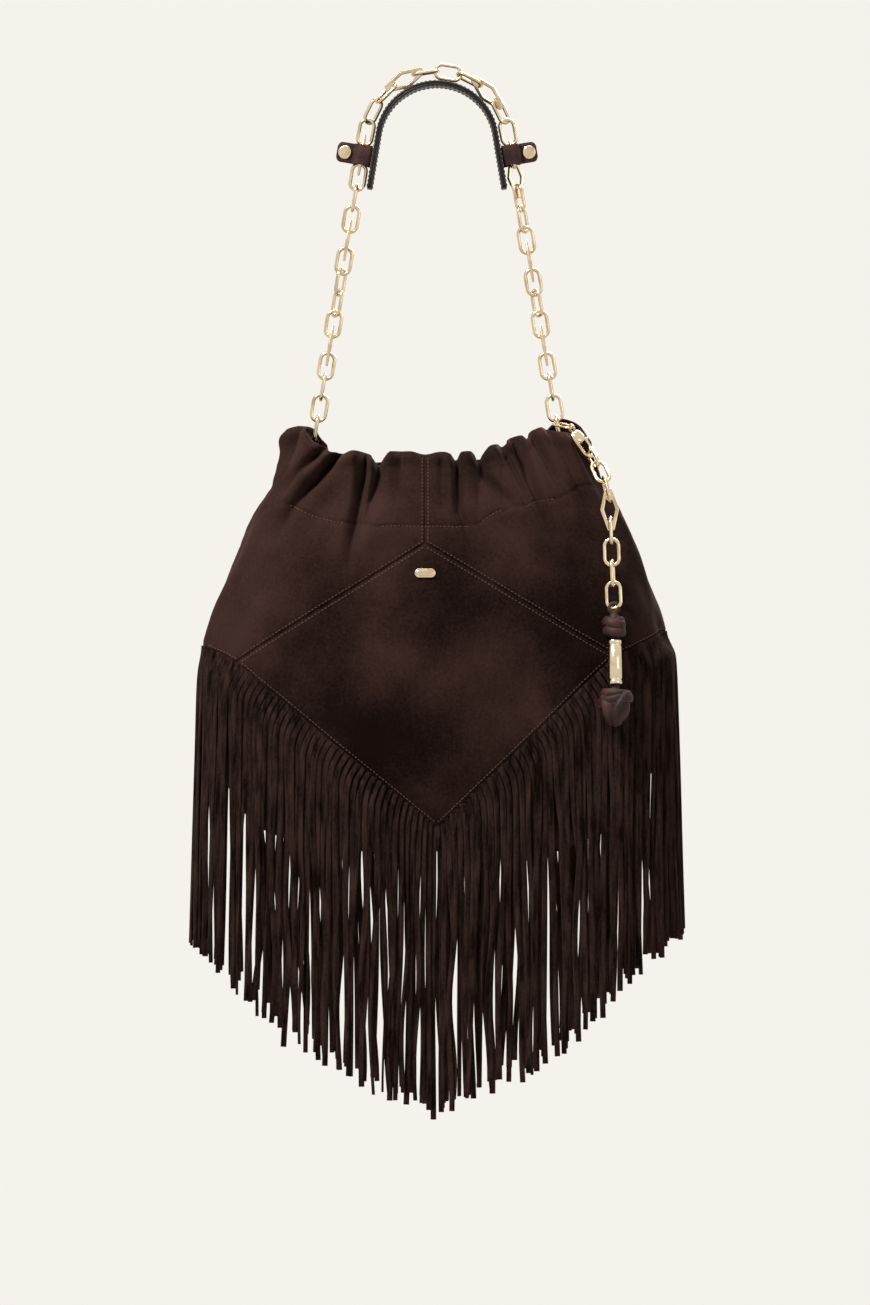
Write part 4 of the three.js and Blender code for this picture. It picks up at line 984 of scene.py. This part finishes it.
def hex_link():
    """A long flat hexagon with a window, thinner towards its two ends, with bevelled edges."""
    points, faces = cut_plate((eased(hexagon(*HEX), 0.9), eased(hexagon(*HEX_HOLE), 0.8)), HEX_THICKNESS, 0.62, 2)
    points[:, 2] *= 1 - 0.4 * np.abs(points[:, 1]) / (HEX[0] / 2)
    return points, faces


# Handle


def pad_line(radius, count=90):
    """The shoulder pad's bend at a radius, seen from the front, with the direction away from its middle."""
    half = math.pi / 2 - SPLAY
    reach = radius * half + PAD_LEG
    path, away = [], []
    for distance in np.linspace(-reach, reach, count):
        side = 1 if distance >= 0 else -1
        angle = min(abs(distance) / radius, half)
        rest = max(0.0, abs(distance) - radius * half)
        x = radius * math.sin(angle) + rest * math.sin(SPLAY)
        path.append((side * x, 0.0, -PAD_RADIUS + radius * math.cos(angle) - rest * math.cos(SPLAY)))
        away.append((side * math.sin(angle), 0.0, math.cos(angle)))
    return np.array(path), np.array(away)


def stitched_line(path, out, pitch, length, radius=0.36):
    """Stitches along any line of points, raised in a direction at each point."""
    path, out = rows(path), rows(out)
    travelled = np.concatenate([[0], np.cumsum(np.linalg.norm(np.diff(path, axis=0), axis=1))])
    parts = []
    for start in np.arange(0.8, travelled[-1] - length, pitch):
        at = start + length * np.linspace(0, 1, 5)
        middle = np.stack([np.interp(at, travelled, path[:, i]) for i in range(3)], -1)
        up = unit(np.stack([np.interp(at, travelled, out[:, i]) for i in range(3)], -1))
        lift = np.array([-0.1, 0.2, 0.3, 0.2, -0.1])[:, None]
        sizes = radius * np.array([0.5, 0.9, 1.0, 0.9, 0.5])
        parts.append(tube(middle + up * lift, sizes, sizes * 0.8, 6, first=up[2]))
    return parts


def tab_frame(side):
    """Place and directions of a snap tab: out from the pad, across the depth and up the leg."""
    up = np.array([-side * math.sin(SPLAY), 0.0, math.cos(SPLAY)])
    out = np.array([side * math.cos(SPLAY), 0.0, math.sin(SPLAY)])
    chain = strap_point(side * (RUN_START - TAB_UP_LEG))
    return chain - out * CHAIN_OFF_PAD, out, np.cross(up, out), up


def tab_leather(front):
    """One half of a tab in its own frame: from the pad round the chain to the tip of the tongue."""
    leather, bore, outward = 1.8, 8.0, 5.7
    middle = leather / 2
    turn = np.linspace(-90, -math.degrees(math.asin(middle / (bore + middle))), 16)
    path = [(0.6, -(bore + middle)), (3.0, -(bore + middle))]
    for a in np.radians(turn):
        path.append((CHAIN_OFF_PAD + (outward + middle) * math.cos(a), (bore + middle) * math.sin(a)))
    path += [(x, -middle - 0.06) for x in np.linspace(path[-1][0] + 1.2, TAB_REACH, 14)]
    path = np.array([(x, y, 0) for x, y in path])
    along = tangents(path)
    over = np.cross(along, (0, 0, 1))
    sections = []
    for x in path[:, 0]:
        past = max(0.0, x - (TAB_REACH - TAB_CORNER))
        half = TAB_EDGE - (TAB_CORNER - math.sqrt(max(TAB_CORNER * TAB_CORNER - past * past, 0.2)))
        sections.append(rounded_section(2 * half, leather - 0.1, 0.55, 3))
    points, faces = strip(path, np.array([0.0, 0.0, 1.0]), over, np.array(sections))
    if not front:
        points = points * (1, -1, 1)
        faces = [face[::-1] for face in faces]
    return points, faces


def tab_stitches(front):
    """Stitches round the tongue of a tab, on one face."""
    inset, face = 1.6, 1.86
    x0, x1, z0 = CHAIN_OFF_PAD + 8.2, TAB_REACH - inset, TAB_EDGE - inset
    r = TAB_CORNER - inset
    quarter = np.linspace(0, math.pi / 2, 6)
    line = [(x0, z0)] + [(x1 - r + r * math.sin(a), z0 - r + r * math.cos(a)) for a in quarter]
    line += [(x1 - r + r * math.cos(a), -z0 + r - r * math.sin(a)) for a in quarter] + [(x0, -z0)]
    sign = -1 if front else 1
    path = np.array([(x, sign * face, z) for x, z in line])
    return stitched_line(path, np.tile((0.0, sign, 0.0), (len(path), 1)), 2.4, 1.7, 0.24)


# Properties


def colour_property(name, description, default):
    """A colour that the panel shows."""
    return bpy.props.FloatVectorProperty(
        name=name, description=description, default=default, subtype="COLOR", min=0, max=1,
    )


def length_property(name, description, default):
    """A length in metres that the panel shows."""
    return bpy.props.FloatProperty(name=name, description=description, default=default, unit="LENGTH", min=0.0001)


class BagSizes(bpy.types.PropertyGroup):
    """Sizes of the sewn and cut details."""

    strand_width: length_property("Strand width", "Width of one cut strand of the fringe", 0.0044)
    strand_spacing: length_property("Strand spacing", "From one strand to the next along the seam", 0.0041)
    stitch_length: length_property("Stitch length", "Length of one stitch on the suede", 0.0017)
    stitch_pitch: length_property("Stitch pitch", "From one stitch to the next", 0.0030)
    suede_thickness: length_property("Suede thickness", "Thickness of the body's suede", 0.0018)
    puff: length_property("Puff", "How far the panels stand out between their seams", 0.0020)
    gather_depth: bpy.props.FloatProperty(
        name="Gather depth", description="Depth of the gathers as a share of the usual one",
        default=1.45, min=0, max=2, subtype="FACTOR",
    )


class BagColours(bpy.types.PropertyGroup):
    """Colours of the finishes."""

    # The suede's dark and lit tones also carry the painted shade that darkens the lower part of the body.
    suede_dark: colour_property("Suede, shaded nap", "Nap that lies away from the light", (0.0080, 0.0036, 0.0028))
    suede_light: colour_property("Suede, lit nap", "Nap that faces the light", (0.0420, 0.0210, 0.0166))
    fringe_dark: colour_property("Fringe, dark", "Darker strands of the fringe", (0.0042, 0.0020, 0.0016))
    fringe_light: colour_property("Fringe, light", "Lighter strands of the fringe", (0.0390, 0.0204, 0.0163))
    # The dark tones of the smooth leather and the pad are also painted shade in the creases of their grain.
    leather_dark: colour_property("Smooth leather, dark", "Creases of the smooth leather", (0.024, 0.0108, 0.0092))
    leather_light: colour_property("Smooth leather, light", "Leather of the tabs and the cord", (0.070, 0.0290, 0.0240))
    pad_dark: colour_property("Pad, dark", "Shoulder pad's darker tone", (0.008, 0.0062, 0.0062))
    pad_light: colour_property("Pad, light", "Shoulder pad's lighter tone", (0.022, 0.017, 0.017))
    thread: colour_property("Thread", "Stitches", (0.175, 0.108, 0.078))
    gilt_pale: colour_property("Gilt, pale", "Plated metal", (0.74, 0.615, 0.435))
    gilt_deep: colour_property("Gilt, deep", "Clouded spots of the plating", (0.52, 0.395, 0.23))
    lining: colour_property("Lining", "Woven lining", (0.085, 0.058, 0.042))
    backdrop: colour_property("Backdrop", "Backdrop and floor", (0.913, 0.887, 0.831))


# Operators


class BAG_OT_finishes(bpy.types.Operator):
    """Make the finishes of suede, leather, metal, thread and lining"""

    bl_idname = "bag.finishes"
    bl_label = "Finishes"

    def execute(self, context):
        c = context.scene.bag_colours
        nap_group(), grain_group(), plate_group(), weave_group()
        matt = {"Sheen Roughness": 0.4, "Sheen Tint": (0.75, 0.5, 0.4, 1), "Specular IOR Level": 0.03}
        # The suede's height share is painted shade: lighter at the top of the bag, darker lower down.
        finish(
            "brushed_suede", "Nap",
            {"Dark": opaque(c.suede_dark), "Light": opaque(c.suede_light), "Patch Scale": 10.0, "Patch": 1.1,
             "Streak": 0.2, "Painted Height Shade": 1.3},
            0.5, 0.0005, {"Sheen Weight": 0.07, **matt},
        )
        finish(
            "cut_fringe", "Nap",
            {"Dark": opaque(c.fringe_dark), "Light": opaque(c.fringe_light), "Patch Scale": 30.0, "Patch": 0.3,
             "Streak": 2.6},
            0.5, 0.0005, {"Sheen Weight": 0.05, **matt},
        )
        finish(
            "smooth_hide", "Grain",
            {"Dark": opaque(c.leather_dark), "Light": opaque(c.leather_light), "Cell Scale": 950.0},
            0.35, 0.00025, {"Specular IOR Level": 0.16},
        )
        finish(
            "pad_hide", "Grain", {"Dark": opaque(c.pad_dark), "Light": opaque(c.pad_light), "Cell Scale": 1100.0},
            0.2, 0.0002, {"Specular IOR Level": 0.2, "Coat Weight": 0.08, "Coat Roughness": 0.15},
        )
        finish(
            "gilt_plate", "Plate", {"Pale": opaque(c.gilt_pale), "Deep": opaque(c.gilt_deep)},
            0.12, 0.00008, {"Metallic": 1.0},
        )
        finish(
            # Thread and lining get a darker copy of their own colour for the painted shade in the gaps of the weave.
            "sewing_thread", "Weave", {"Dark": opaque(c.thread, 0.55), "Light": opaque(c.thread), "Threads": 900.0},
            0.4, 0.0002, {"Roughness": 0.75, "Specular IOR Level": 0.3},
        )
        finish(
            "lining_weave", "Weave", {"Dark": opaque(c.lining, 0.5), "Light": opaque(c.lining), "Threads": 240.0},
            0.5, 0.0003, {"Roughness": 0.85, "Specular IOR Level": 0.25},
        )
        return {"FINISHED"}


class BAG_OT_suede_body(bpy.types.Operator):
    """Cut, gather and sew the suede panels"""

    bl_idname = "bag.suede_body"
    bl_label = "Suede body"

    def execute(self, context):
        sizes = context.scene.bag_sizes
        for label, (points, faces) in body_panels().items():
            name = label.replace("_panel", "_suede")
            made = add(name, (points, faces), "brushed_suede", "bag", "suede", label)
            thicken(made, "Suede", sizes.suede_thickness)
        for front, label in ((True, "front_stitches"), (False, "back_stitches")):
            parts = [part for row in seam_rows() for part in thread_row(row, front, sizes)]
            add(label, joined(parts), "sewing_thread", "bag", "lining")
        return {"FINISHED"}


class BAG_OT_lining(bpy.types.Operator):
    """Hang the woven lining inside the suede"""

    bl_idname = "bag.lining"
    bl_label = "Lining"

    def execute(self, context):
        angles = even_angles(200)
        heights = np.linspace(LINING_TOP, -582, 70)
        rings = [suede_surface(angles, np.full(len(angles), z), 3.2) for z in heights]
        for share in (0.75, 0.5, 0.25, 0.02):
            ring = rings[len(heights) - 1].copy()
            ring[:, 1] *= share
            ring[:, 2] -= 0.3 * (1 - share)
            rings.append(ring)
        points, faces = skin(rings[::-1], caps=False)
        made = add("lining_cloth", (points, faces), "lining_weave", "bag", "lining", "lining")
        thicken(made, "Cloth", 0.0006)
        return {"FINISHED"}


class BAG_OT_fringe(bpy.types.Operator):
    """Cut the fringe and hang it from the lower seams"""

    bl_idname = "bag.fringe"
    bl_label = "Fringe"

    def execute(self, context):
        sizes = context.scene.bag_sizes
        quarter = math.pi / 2
        for seed, label in enumerate(("back_right", "back_left", "front_left", "front_right")):
            strands, area, width = fringe_quarter(seed * quarter, (seed + 1) * quarter, 40 + seed, sizes)
            made = add(f"fringe_{label}_strands", strands, "cut_fringe", "bag", "suede", f"fringe_{label}")
        return {"FINISHED"}


class BAG_OT_chain(bpy.types.Operator):
    """Link the chain over the pad, its two runs and the rings at the mouth"""

    bl_idname = "bag.chain"
    bl_label = "Chain"

    def execute(self, context):
        shapes = {"oval": oval_link(*OVAL, WIRE), "hex": hex_link()}
        parts = []
        for index, (kind, twist) in enumerate(OVER_PAD):
            distance = PITCH / 2 + index * JOINED_PITCH - RUN_START
            parts.append(placed(shapes[kind], *strap_frame(distance, twist)))
        add("pad_chain", joined(parts), "gilt_plate", "handle", "gilt", "chain_over_pad")
        names = [f"strap_{side}_{number:02d}" for side in ("left", "right") for number in range(1, 12)]
        names += [f"charm_link_{number}" for number in range(1, 9)] + ["left_anchor_ring", "right_anchor_ring"]
        for name in names:
            link = placed(shapes["hex" if name in HEX_LINKS else "oval"], *node_axes(name))
            add(f"{name}_wire", link, "gilt_plate", "bag" if "anchor" in name else name, "gilt", name)
        return {"FINISHED"}


class BAG_OT_shoulder_pad(bpy.types.Operator):
    """Bend the shoulder pad, with its rolled edges and rows of stitches"""

    bl_idname = "bag.shoulder_pad"
    bl_label = "Shoulder pad"

    def execute(self, context):
        parts = []
        for radius in (PAD_RADIUS + 0.97, PAD_RADIUS + PAD_THICKNESS - 0.97):
            path, away = pad_line(radius)
            parts.append(strip(path, np.array([0.0, 1.0, 0.0]), away, rounded_section(PAD_WIDTH, 1.92, 0.8, 4)))
        made = add("pad_leather", joined(parts), "pad_hide", "handle", "pad_leather", "shoulder_pad")
        parts = []
        for radius, sign in ((PAD_RADIUS, -1), (PAD_RADIUS + PAD_THICKNESS, 1)):
            path, away = pad_line(radius, 160)
            for y in (-PAD_WIDTH / 2 + 2.6, PAD_WIDTH / 2 - 2.6):
                parts += stitched_line(path + (0, y, 0), away * sign, 3.4, 2.4, 0.3)
        add("pad_stitches", joined(parts), "sewing_thread", "handle", "lining")
        return {"FINISHED"}


class BAG_OT_snap_tabs(bpy.types.Operator):
    """Fold the snap tabs round the chain and set their press studs"""

    bl_idname = "bag.snap_tabs"
    bl_label = "Snap tabs"

    def execute(self, context):
        cap = [
            (-1.78, 0.2), (-1.9, 5.3), (-2.35, 5.3), (-2.9, 4.95), (-3.15, 4.4), (-3.2, 4.15), (-3.05, 3.95),
            (-3.12, 3.0), (-3.2, 1.4), (-3.22, 0.05),
        ]
        back = [(1.78, 0.2), (1.85, 4.4), (2.4, 4.4), (2.8, 4.0), (2.85, 3.2), (2.6, 2.9), (2.6, 0.05)]
        post = [(-1.9, 1.6), (1.9, 1.6)]
        for label, side in (("left", -1), ("right", 1)):
            place, out, deep, up = tab_frame(side)
            leather = placed(joined([tab_leather(True), tab_leather(False)]), place, out, deep, up)
            add(f"{label}_tab_leather", leather, "smooth_hide", "handle", "smooth_leather", f"{label}_snap_tab")
            stitches = placed(joined(tab_stitches(True) + tab_stitches(False)), place, out, deep, up)
            add(f"{label}_tab_stitches", stitches, "sewing_thread", "handle", "lining")
            centre = place + out * (TAB_REACH - STUD_INSET)
            axis = deep * (1 if deep[1] > 0 else -1)
            stud = joined([lathe(profile, centre, axis) for profile in (cap, post, back)])
            add(f"{label}_stud", stud, "gilt_plate", "handle", "gilt", f"{label}_press_stud")
        return {"FINISHED"}


class BAG_OT_anchor_tabs(bpy.types.Operator):
    """Loop the leather tabs round the rings at the mouth"""

    bl_idname = "bag.anchor_tabs"
    bl_label = "Anchor tabs"

    def execute(self, context):
        for label, side in (("left", -1), ("right", 1)):
            bar = np.array([side * 94.34, 0.0, -272.23])
            seat = np.array([side * 119.5, 0.0, -303.65])
            up = unit(bar - seat)
            across = np.cross((0.0, 1.0, 0.0), up)
            length = np.linalg.norm(bar - seat)
            turn = np.radians(np.linspace(-80, 260, 26))
            loop = [(3.2 * math.cos(a), 3.2 * math.sin(a)) for a in turn]
            legs = [[(x, y) for y in np.linspace(-length, -3.6, 10)] for x in (0.75, -0.75)]
            line = legs[0] + loop + legs[1][::-1]
            path = np.array([bar + across * x + up * y for x, y in line])
            along = tangents(path)
            over = np.cross(along, (0.0, 1.0, 0.0))
            leather = strip(path, np.array([0.0, 1.0, 0.0]), over, rounded_section(5.0, 1.3, 0.5, 2))
            add(f"{label}_anchor_leather", leather, "smooth_hide", "bag", "smooth_leather", f"{label}_anchor_tab")
        return {"FINISHED"}


class BAG_OT_plaque(bpy.types.Operator):
    """Set the plain plaque on the lozenge"""

    bl_idname = "bag.plaque"
    bl_label = "Plaque"

    def execute(self, context):
        points = node_points("plaque")
        x, z = APEX[0], (points[:, 2].max() + points[:, 2].min()) / 2
        outline = arc(4.5, 0, 3.5, -90, 90, 12) + arc(-4.5, 0, 3.5, 90, 270, 12)
        plate = cut_plate((outline,), 1.5, 0.5, 3)
        inner = arc(4.5, 0, 2.3, -90, 90, 12) + arc(-4.5, 0, 2.3, 90, 270, 12)
        raised = cut_plate((inner,), 0.9, 0.4, 3)
        raised = raised[0] + (0, 0, 0.75), raised[1]
        around = np.array([(0, 0), (-3, 0), (3, 0), (0, -3), (0, 3)])
        spots = surface_at(x + around[:, 0], z + around[:, 1], np.full(5, True))
        across, upward = unit(spots[2] - spots[1]), unit(spots[4] - spots[3])
        out = unit(np.cross(across, upward))
        plaque = placed(joined((plate, raised)), spots[0] + out * 0.75, across, np.cross(out, across), out)
        add("plaque_plate", plaque, "gilt_plate", "bag", "gilt", "plaque")
        return {"FINISHED"}


class BAG_OT_charm(bpy.types.Operator):
    """Hang the charm's ring and its clasp with the sprung gate"""

    bl_idname = "bag.charm"
    bl_label = "Charm"

    def execute(self, context):
        # Shorter at its hooked end, which leaves room for the last link of the chain when the bag swings
        length, width, wire, spare = 22.8, 9.4, 2.0, 0.6
        points, faces = oval_link(length - spare, width, wire)
        ring = placed((points - [0, spare / 2, 0], faces), *node_axes("charm_ring"))
        add("charm_ring_wire", ring, "gilt_plate", "charm_ring", "gilt", "charm_ring")
        place = np.array([102.72, -18.64, -262.48])
        x, y = unit((0.683, 0.653, 0.325)), unit((0.565, -0.191, -0.803))
        z = np.cross(x, y)
        half, bar, shoulder, hole_end = 6.0, 2.6, 11.0, 25.0
        bottom, inner = hole_end + bar, half - bar
        curve = []
        for t in np.linspace(0, 1, 10):
            first, second, third = (1 - t) ** 2, 2 * t * (1 - t), t * t
            curve.append((-1.8 * first - 6 * second - 6 * third, 2.8 * first + 3.8 * second + 11 * third))
        outline = curve + arc(0, bottom - half, half, 180, 0, 20)
        outline += [(half, 20.2), (inner - 0.6, 20.2)] + arc(0, hole_end - inner, inner, 0, 180, 16)
        outline += arc(0, shoulder + inner, inner, 180, 270, 10) + [(inner - 0.6, 10.7), (half, 10.7)]
        outline += [(-px, py) for px, py in curve[::-1] if py < 10.2]
        frame_plate = cut_plate((outline,), 3.2, 0.95, 3)
        turn = np.linspace(0, 2 * np.pi, 28, endpoint=False)
        circle = np.stack([0 * turn, 2.8 * np.cos(turn), 2.8 * np.sin(turn)], -1)
        eyelet = tube(circle, 0.95, 0.95, 10, True, (1, 0, 0))
        domes = []
        for sign in (-1, 1):
            rings = []
            for a in np.radians(np.linspace(2, 90, 9)):
                level, reach = sign * (1.5 + 1.3 * math.cos(a)), math.sin(a)
                rings.append([(4.5 * reach * math.cos(t), 8.3 + 5.4 * reach * math.sin(t), level) for t in turn])
            domes.append(skin(rings))
        clasp = placed(joined((frame_plate, eyelet, *domes)), place, x, y, z)
        add("clasp_frame", clasp, "gilt_plate", "clasp", "gilt", "clasp_body")
        outline = arc(0, 0, 1.1, 180, 270, 6) + arc(2.6, -0.2, 0.7, -90, 60, 8)
        outline += [(1.5, 1.6), (1.1, 2.6), (1.1, 7.1), (-1.1, 7.1)]
        gate = placed(cut_plate((outline,), 2.4, 0.5, 2), place + x * 4.7 + y * 12.4, x, y, z)
        add("clasp_gate_arm", gate, "gilt_plate", "clasp_gate", "gilt", "clasp_gate")
        return {"FINISHED"}


class BAG_OT_tassel(bpy.types.Operator):
    """Knot the leather cord of the charm round its tube bead"""

    bl_idname = "bag.tassel"
    bl_label = "Tassel"

    def execute(self, context):
        place = np.array([134.02, -57.42, -398.22])
        y = unit((0.013, -0.174, -0.985))
        x = unit(np.array([0.959, -0.278, 0.061]) - y * np.dot((0.959, -0.278, 0.061), y))
        z = np.cross(x, y)
        turn = np.linspace(0, 2 * np.pi, 90, endpoint=False)
        parts, stitches = [], []
        ring = np.stack([3.3 * np.sin(turn[::3]), 3.6 - 1.9 - 3.5 * np.cos(turn[::3]), 0.5 * np.sin(turn[::3])], -1)
        parts.append(tube(ring, 1.5, 1.7, 12, True, (0, 0, 1)))
        neck = np.stack([0 * turn[:6], np.linspace(5.5, 10.5, 6), 0 * turn[:6]], -1)
        parts.append(tube(neck, np.linspace(2.4, 5.4, 6), np.linspace(2.6, 4.6, 6), 16, False, (1, 0, 0)))
        parts.append(ball((0, 16.2, 0), (7.0, 7.4, 6.2)))
        for level, tilt, start, wide in ((13.0, 2.6, 0.4, 3.6), (19.2, 2.4, 0.9, 3.5), (16.4, -4.6, 0.2, 2.9)):
            reach = (7.2, 6.4) if tilt > 0 else (6.4, 5.4)
            height = level + tilt * np.cos(turn + start)
            winding = np.stack([reach[0] * np.cos(turn), height, reach[1] * np.sin(turn)], -1)
            parts.append(tube(winding, wide, 1.7, 16, True, (0, 1, 0)))
        core = np.stack([0 * turn[:20], np.linspace(8, 80, 20), 0 * turn[:20]], -1)
        parts.append(tube(core, 2.9, 2.9, 14))
        parts.append(ball((0, 78.0, 0), (11.0, 12.4, 9.0)))
        for level, tilt, start, wide in ((67.5, 1.2, 0.3, 3.2), (72.8, 1.7, 2.6, 3.6)):
            grow = 0.82 if level < 70 else 1.0
            height = level + tilt * np.cos(turn + start)
            winding = np.stack([11.6 * grow * np.cos(turn), height, 9.4 * grow * np.sin(turn)], -1)
            parts.append(tube(winding, wide, 2.0, 16, True, (0, 1, 0)))
            edge = winding + (0, wide - 0.9, 0)
            away = unit(winding * (1, 0, 1))
            stitches += stitched_line(edge + away * 1.0, away, 2.4, 1.7, 0.26)
        for off, lean, wide, grow in ((-3.0, -0.2, 5.6, 1.0), (3.4, 0.5, 3.5, 1.07)):
            height = 78.6 - 10.6 * grow * np.cos(turn)
            circle = np.stack([off + lean * 11 * np.cos(turn), height, 8.9 * grow * np.sin(turn)], -1)
            parts.append(tube(circle, wide, 2.1, 16, True, (1, 0, 0)))
            away = unit((circle - (off, 78.6, 0)) * (0, 1, 1))
            stitches += stitched_line(circle + (wide - 1.2, 0, 0) + away * 1.3, away, 2.4, 1.7, 0.26)
        leather = placed(joined(parts), place, x, y, z)
        add("tassel_leather", leather, "smooth_hide", "tassel", "smooth_leather", "tassel_cord")
        add("tassel_stitches", placed(joined(stitches), place, x, y, z), "sewing_thread", "tassel", "lining")
        half, radius = 17.25, 5.4
        profile = [(-half, 3.2), (-half, 4.6), (-half + 0.35, 5.1), (-half + 0.9, radius)]
        for at in (-half + 4, half - 4):
            profile += [(at - 1.0, radius), (at - 0.6, radius - 0.35), (at, radius - 0.5)]
            profile += [(at + 0.6, radius - 0.35), (at + 1.0, radius)]
        profile += [(half - 0.9, radius), (half - 0.35, 5.1), (half, 4.6), (half, 3.2), (0, 3.2)]
        bead = lathe(profile, place + y * 43.6, y, 48)
        add("bead_tube", bead, "gilt_plate", "tassel", "gilt", "tassel_bead")
        return {"FINISHED"}


def background_rays(tree):
    """1 for the rays that show the background: those of the camera, and those off metal and through glass."""
    paths = tree.nodes.new("ShaderNodeLightPath").outputs
    straight = maths(tree, "MAXIMUM", paths["Is Camera Ray"], paths["Is Transmission Ray"])
    return maths(tree, "MAXIMUM", straight, paths["Is Glossy Ray"])


class BAG_OT_stage(bpy.types.Operator):
    """Set the floor, the backdrop, the soft lights and the camera"""

    bl_idname = "bag.stage"
    bl_label = "Stage"

    def execute(self, context):
        scene = context.scene
        scene.view_settings.view_transform = "Standard"
        pale = opaque(scene.bag_colours.backdrop)
        world = bpy.data.worlds.new("Studio")
        world.use_nodes = True
        tree = world.node_tree
        ambient = next(n for n in tree.nodes if n.type == "BACKGROUND")
        ambient.inputs["Color"].default_value = (1.0, 0.985, 0.96, 1)
        ambient.inputs["Strength"].default_value = 0.06
        seen = node(tree, "ShaderNodeBackground", {"Color": pale, "Strength": 1.0})
        blend = node(
            tree, "ShaderNodeMixShader", {}, {0: background_rays(tree), 1: ambient.outputs[0], 2: seen.outputs[0]},
        )
        tree.links.new(blend.outputs[0], next(n for n in tree.nodes if n.type == "OUTPUT_WORLD").inputs["Surface"])
        scene.world = world

        floor_material = bpy.data.materials.new("floor")
        floor_material.use_nodes = True
        tree = floor_material.node_tree
        shader = next(n for n in tree.nodes if n.type == "BSDF_PRINCIPLED")
        place = tree.nodes.new("ShaderNodeTexCoord").outputs["Object"]
        tone = ramp(tree, noise(tree, place, 3.0, 4.0), 0.2, 0.8)
        tree.links.new(mixed(tree, tone, opaque(scene.bag_colours.backdrop, 0.96), pale), shader.inputs["Base Color"])
        shader.inputs["Roughness"].default_value = 0.8
        glow = node(tree, "ShaderNodeEmission", {"Color": pale, "Strength": 0.92})
        even = node(
            tree, "ShaderNodeMixShader", {},
            {0: maths(tree, "MULTIPLY", background_rays(tree), 0.75), 1: shader.outputs[0], 2: glow.outputs[0]},
        )
        tree.links.new(even.outputs[0], next(n for n in tree.nodes if n.type == "OUTPUT_MATERIAL").inputs["Surface"])
        side, near, far, low = 2600.0, -2600.0, 1600.0, -1250.0
        corners = [(-side, near, low), (side, near, low), (side, far, low), (-side, far, low)]
        floor = piece("floor", corners, [(0, 1, 2, 3)], floor_material)

        for label, spot, aim, size, power in LAMPS:
            lamp = bpy.data.lights.new(label, "AREA")
            lamp.size = size
            lamp.energy = power
            lamp.color = (1.0, 0.985, 0.965)
            holder = bpy.data.objects.new(label, lamp)
            holder.location = spot
            holder.rotation_euler = (Vector(aim) - Vector(spot)).to_track_quat("-Z", "Y").to_euler()
            scene.collection.objects.link(holder)

        lens = bpy.data.cameras.new("camera")
        distance, height = 5.0, 1.0
        lens.sensor_width = 36.0
        lens.lens = 36.0 * distance / height
        camera = bpy.data.objects.new("camera", lens)
        camera.location = (-0.0015, -distance, -0.4336)
        camera.rotation_euler = (math.pi / 2, 0, 0)
        scene.collection.objects.link(camera)
        scene.camera = camera
        return {"FINISHED"}


OPERATORS = (
    BAG_OT_finishes, BAG_OT_suede_body, BAG_OT_lining, BAG_OT_fringe, BAG_OT_chain, BAG_OT_shoulder_pad,
    BAG_OT_snap_tabs, BAG_OT_anchor_tabs, BAG_OT_plaque, BAG_OT_charm, BAG_OT_tassel, BAG_OT_stage,
)


class BAG_PT_pieces(bpy.types.Panel):
    """Lists the bag's pieces and their sizes and colours"""

    bl_idname = "BAG_PT_pieces"
    bl_label = "Fringed bag"
    bl_space_type = "VIEW_3D"
    bl_region_type = "UI"
    bl_category = "Bag"

    def draw(self, context):
        for group in (context.scene.bag_sizes, context.scene.bag_colours):
            for name in group.bl_rna.properties.keys():
                if name not in ("rna_type", "name"):
                    self.layout.prop(group, name)
        for operator in OPERATORS:
            self.layout.operator(operator.bl_idname)


CLASSES = (BagSizes, BagColours, *OPERATORS, BAG_PT_pieces)


def register():
    for made in CLASSES:
        bpy.utils.register_class(made)
    bpy.types.Scene.bag_sizes = bpy.props.PointerProperty(type=BagSizes)
    bpy.types.Scene.bag_colours = bpy.props.PointerProperty(type=BagColours)


def unregister():
    del bpy.types.Scene.bag_sizes
    del bpy.types.Scene.bag_colours
    for made in reversed(CLASSES):
        bpy.utils.unregister_class(made)


def main():
    register()
    for operator in OPERATORS:
        group, name = operator.bl_idname.split(".")
        getattr(getattr(bpy.ops, group), name)()


if __name__ == "__main__":
    main()
